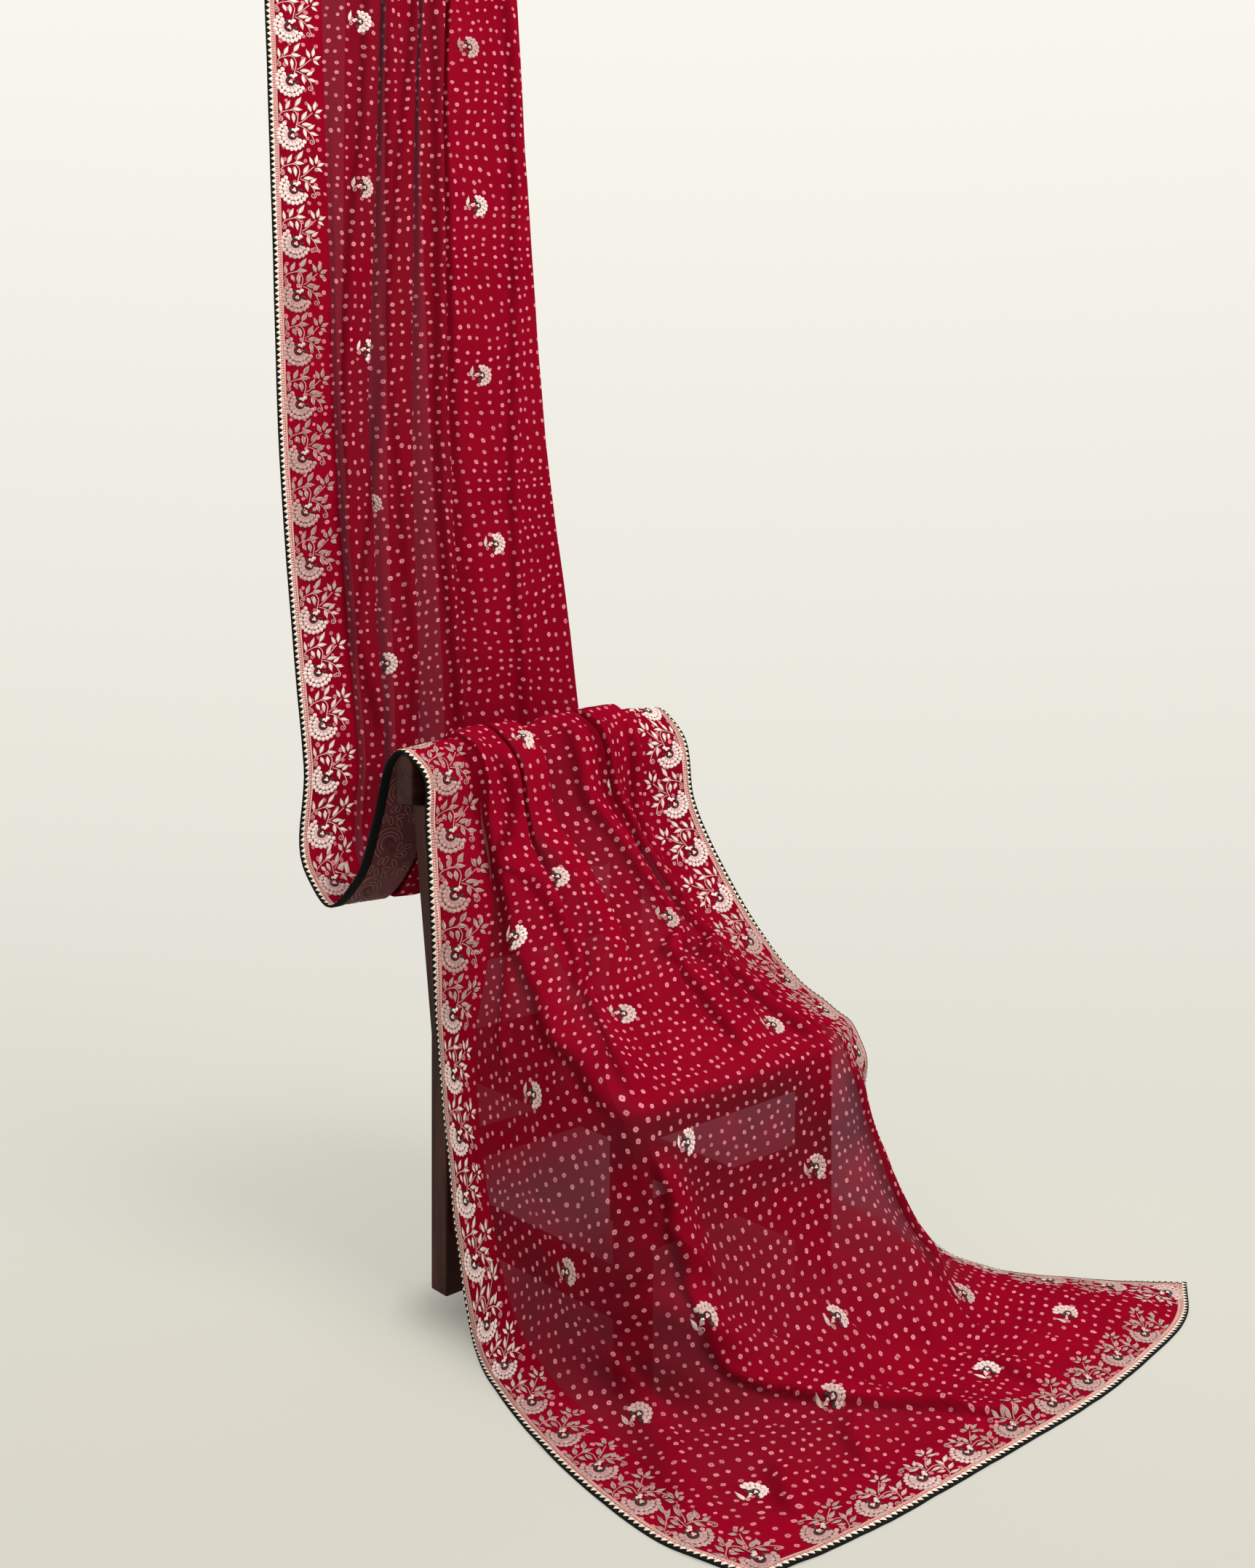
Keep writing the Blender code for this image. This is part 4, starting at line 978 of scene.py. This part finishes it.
def satin(name, dark, light, edge, roughness, metallic, slant, rim_at=(.45, .85)):
    """Satin stitch: fine threads laid side by side at a slant and outlined at the edge, with a painted highlight:
    where the glint value is high the colour goes from dark to light and a faint emission makes it glow."""
    m, tree, shader = new_material(name, roughness, Metallic=metallic)
    part = node(tree, "SeparateXYZ", {0: flat_place(tree)})
    phase = maths(tree, "MULTIPLY_ADD", maths(tree, "ABSOLUTE", part.outputs[1]), slant, part.outputs[0])
    thread = maths(tree, "SINE", maths(tree, "MULTIPLY", phase, 6.283 / THREAD_PITCH))
    body = node(tree, "TexCoord", {}).outputs["Object"]
    uneven = node(tree, "TexNoise", {"Vector": body, "Scale": 110.0, "Detail": 2.0}).outputs[0]
    caught = maths(tree, "POWER", attribute(tree, "glint"), 1.5)
    lit = maths(tree, "MULTIPLY_ADD", caught, .8, maths(tree, "MULTIPLY", step_between(tree, uneven, .35, .65), .2))
    base = mixed(tree, lit, dark, light)
    ribbed = mixed(tree, maths(tree, "MULTIPLY_ADD", thread, .12, .12), base, dark)
    rim = step_between(tree, attribute(tree, "rim"), *rim_at)
    spark = maths(tree, "MULTIPLY", maths(tree, "MULTIPLY", caught, GLOW), maths(tree, "SUBTRACT", 1.0, rim))
    wire(shader, Base_Color=mixed(tree, rim, ribbed, edge), Emission_Color=ribbed, Emission_Strength=spark,
         Normal=bump(tree, thread, .5, .0004))
    return m


DARK_THREAD = satin("dark_hook", (.006, .010, .008), (.016, .024, .019), (.01, .015, .012), .6, 0., .6)
# Each kind of stitch: its shapes in the border, those of the single flowers, and its thread.
STITCHES = {
    "leaf_stitches": (leaves(border_leaves), leaves(ground_leaves),
                      satin("metal_leaf", (.22, .085, .070), (.92, .79, .70), (.54, .33, .29), .40, .15, .9)),
    "scallop_stitches": (leaves(border_beads, .9, .0020), leaves(ground_beads, .9, .0018),
                         satin("metal_scallop", (.36, .18, .155), (.90, .75, .69), (.50, .27, .24), .40, .15, 0.,
                               (.60, 1))),
    "stem_stitches": (ribbons(border_stems, .0018), ribbons(ground_stems, .0016),
                      satin("metal_stem", (.44, .20, .18), (.78, .46, .42), (.42, .16, .15), .45, .25, .6)),
    "fan_stitches": (ribbons(border_fans, .0050, .0011), ribbons(ground_fans, .0036, .0010),
                     satin("pink_fan", (.40, .20, .19), (.72, .46, .45), (.40, .12, .13), .50, .15, 0., (.80, 1))),
    "hook_stitches": (ribbons(border_hooks, .0021, .0019), ribbons(ground_hooks, .0019, .0018), DARK_THREAD),
    "drop_stitches": (leaves(border_drops, .7, .0018, .0010), leaves(ground_drops, .7, .0016, .0010), DARK_THREAD),
    "floret_stitches": (leaves(border_florets, .8, .0020, .0014), leaves(ground_florets, .8, .0018, .0012),
                        satin("silver_floret", (.58, .48, .38), (.99, .94, .88), (.6, .5, .42), .30, .45, .4)),
    "reverse_lines": (ribbons(reverse_lines, .0017, -.0006, lift_from=BACK_LIFT), None,
                      satin("reverse_thread", (.24, .120, .095), (.33, .18, .14), (.20, .08, .07), .8, 0., .6)),
    "reverse_hooks": (ribbons(reverse_hooks, .0026, -.0006, lift_from=BACK_LIFT), None,
                      satin("reverse_hook", (.006, .010, .008), (.012, .016, .013), (.01, .01, .01), .8, 0., .6)),
}
embroidery = [sewn(name, along_borders(border) + (over_ground(ground) if ground else []), thread, "braid")
              for name, (border, ground, thread) in STITCHES.items()]

# ------------------------------------------------------------------ chair
# Plain dining chair in a dark stained hardwood under a satin varnish: square legs, raked posts, a round-topped
# crest rail, a flat splat, a board seat and thin stretchers, all left as the solids have them.
WOOD_DARK, WOOD_LIGHT = (.019, .0046, .0030), (.047, .0102, .0064)


def wood_grain():
    """Long streaks with darker pores, from a place stretched along the board."""
    g, given, out = group_of("wood_grain", "Streak", "Pores")
    wide = node(g, "TexNoise", {"Vector": given.outputs[0], "Scale": 5.0, "Detail": 6.0, "Distortion": .6})
    fine = node(g, "TexNoise", {"Vector": given.outputs[0], "Scale": 40.0, "Detail": 3.0})
    g.links.new(wide.outputs[0], out.inputs[0])
    g.links.new(fine.outputs[0], out.inputs[1])
    return g


GRAIN = wood_grain()


def stained_wood(name, stretch):
    """Dark stain with lighter streaks, darker pores and a satin varnish, rougher in the pores."""
    m, tree, shader = new_material(name, .42, Specular_IOR_Level=.12)
    laid = node(tree, "Mapping", {"Vector": node(tree, "TexCoord", {}).outputs["Object"], "Scale": stretch}).outputs[0]
    grain = place_group(tree, GRAIN, Place=laid)
    streak = mixed(tree, step_between(tree, grain.outputs[0], .35, .68), WOOD_DARK, WOOD_LIGHT)
    pores = step_between(tree, grain.outputs[1], .62, .72)
    wire(shader, Base_Color=mixed(tree, pores, streak, tuple(c * .5 for c in WOOD_DARK)),
         Roughness=maths(tree, "MULTIPLY_ADD", grain.outputs[1], .25, .32),
         Normal=bump(tree, grain.outputs[1], .2, .0005))
    return m


# The grain runs along the longest side of each part: one look for each of the three ways.
GRAIN_ALONG = [stained_wood("wood_" + way, tuple(.8 if k == axis else 9 for k in range(3)))
               for axis, way in enumerate(("width", "depth", "upright"))]
for name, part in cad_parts.items():
    if name in ("cloth", "facing", "braid", "binding"):
        continue
    part.data.materials.clear()
    part.data.materials.append(GRAIN_ALONG[int(np.argmax(np.subtract(*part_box(name)[::-1])))])

# ------------------------------------------------------------------ floor, light and camera
# Plain pale paper that lies on the floor and sweeps up behind, two large soft lights and a pale room, and the
# camera at the photograph's height and angle.
YAW = 0.7391                                        # the view's turn from the chair's front towards its left
CAMERA_PLACE = np.array([-1.7099, -1.8660, 1.3474])    # from the chair's front left corner
FOCAL_PX, FRAME_H, HORIZON_PX, SENSOR = 2312.99, 2156, 701.18, 36
forward = np.array([np.sin(YAW), np.cos(YAW), 0])
right = np.array([np.cos(YAW), -np.sin(YAW), 0])
centre = CORNER + np.array([.25, .2, 0])

BEND_START, BEND_R = 3.4, 1.8           # where the paper leaves the floor, and its radius
PAPER_FRONT, PAPER_HALF, PAPER_TOP = -7, 9, 9
near_chair = np.linspace(-1.1, 1.1, 56)     # the paper's lines are close together round the chair only
turn = np.linspace(.05, np.pi / 2, 20)
level = np.concatenate([np.linspace(PAPER_FRONT, -1.2, 20), near_chair, np.linspace(1.2, BEND_START, 12)])
reach = np.concatenate([level, BEND_START + BEND_R * np.sin(turn), np.full(12, BEND_START + BEND_R)])
rise = np.concatenate([0 * level, BEND_R * (1 - np.cos(turn)), np.linspace(2.2, PAPER_TOP, 12)])
wide = np.concatenate([np.linspace(-PAPER_HALF, -1.2, 30), near_chair, np.linspace(1.2, PAPER_HALF, 30)])
sweep = centre + reach[:, None, None] * forward + wide[None, :, None] * right
sweep[..., 2] += rise[:, None]
from_chair = np.linalg.norm(sweep - centre, axis=2)
FOOT_MIDDLE, FOOT_HALF = (0, -.06), (.24, .27)      # the chair's footprint, from centre
foot = (np.abs(sweep[..., :2] - centre[:2] - FOOT_MIDDLE) - FOOT_HALF).clip(0)      # distance past it
run = np.concatenate([[0], np.cumsum(np.hypot(np.diff(reach), np.diff(rise)))])
NEAR_FROM, NEAR_FADE = .75, .9          # how far round the chair the paper takes its shadows
SHADE, SHADE_FADE = .6, .16             # soft shade under the seat, and how far it fades past the footprint
backdrop = piece("paper_sweep", sweep, grid_faces(*sweep.shape[:2], flip=True), values={
    "near": 1 - smooth((from_chair - NEAR_FROM) / NEAR_FADE),
    "shade": SHADE - SHADE * smooth(np.linalg.norm(foot, axis=2) / SHADE_FADE),
    "run": np.repeat(run[:, None], len(wide), 1)})
backdrop.parent = None
# The paper gets paler from the foreground to the top, as (running length, colour).
PALER = ((6.3, (.69, .675, .59)), (7.3, (.74, .725, .64)), (9.4, (.80, .78, .71)), (11.5, (.845, .82, .75)),
         (13.4, (.915, .89, .82)), (15.2, (.985, .96, .90)))
PAPER_LIT = .74                 # light that falls on the floor, so that its own colour comes out at the paper's tone
look, tree, shader = new_material("pale_paper", .95, Specular_IOR_Level=0)
place, tone = attribute(tree, "run"), PALER[0][1]
for (low, _), (high, colour) in zip(PALER, PALER[1:]):
    tone = mixed(tree, step_between(tree, place, low, high, "LINEAR"), tone, colour)
tone = mixed(tree, attribute(tree, "shade"), tone, (.07, .06, .055))
shaded = maths(tree, "MULTIPLY_ADD", attribute(tree, "near"), .24, .12)     # share of the tone that takes shadows
wire(shader, Base_Color=mixed(tree, maths(tree, "MULTIPLY", shaded, PAPER_LIT), (0, 0, 0), tone),
     Emission_Color=mixed(tree, shaded, tone, (0, 0, 0)), Emission_Strength=1)
backdrop.data.materials.append(look)


def soft_light(name, place, aim, size, power):
    """Large square light at place, turned to aim, both from the chair's middle."""
    data = bpy.data.lights.new(name, "AREA")
    data.size, data.energy = size, power
    obj = bpy.data.objects.new(name, data)
    bpy.context.collection.objects.link(obj)
    start, end = centre + np.array(place), centre + np.array(aim)
    back = (start - end) / np.linalg.norm(start - end)
    side_axis = np.cross([0, 0, 1], back)
    side_axis /= np.linalg.norm(side_axis)
    top_axis = np.cross(back, side_axis)
    obj.matrix_world = Matrix([(side_axis[k], top_axis[k], back[k], start[k]) for k in range(3)] + [(0, 0, 0, 1)])
    return obj


soft_light("key_light", -forward * 1.2 + right * 1.9 + (0, 0, 4.4), (0, 0, .7), 2.0, 175)
soft_light("fill_light", -forward * 3.0 - right * 2.6 + (0, 0, 2.4), (0, 0, .8), 3.2, 32)

world = bpy.data.worlds.new("soft_room")
world.use_nodes = True
wire(world.node_tree.nodes["Background"], Color=(1, .985, .96), Strength=.8)
bpy.context.scene.world = world
bpy.context.scene.view_settings.view_transform = "Standard"

camera = bpy.data.cameras.new("view")
camera.sensor_fit = "VERTICAL"
camera.sensor_height = camera.sensor_width = SENSOR
camera.lens = FOCAL_PX / FRAME_H * SENSOR
camera.shift_y = (HORIZON_PX - FRAME_H / 2) / FRAME_H
camera.clip_end = 60
viewer = bpy.data.objects.new("view", camera)
viewer.location = CORNER + CAMERA_PLACE
viewer.rotation_euler = (np.pi / 2, 0, -YAW)
bpy.context.collection.objects.link(viewer)
bpy.context.scene.camera = viewer
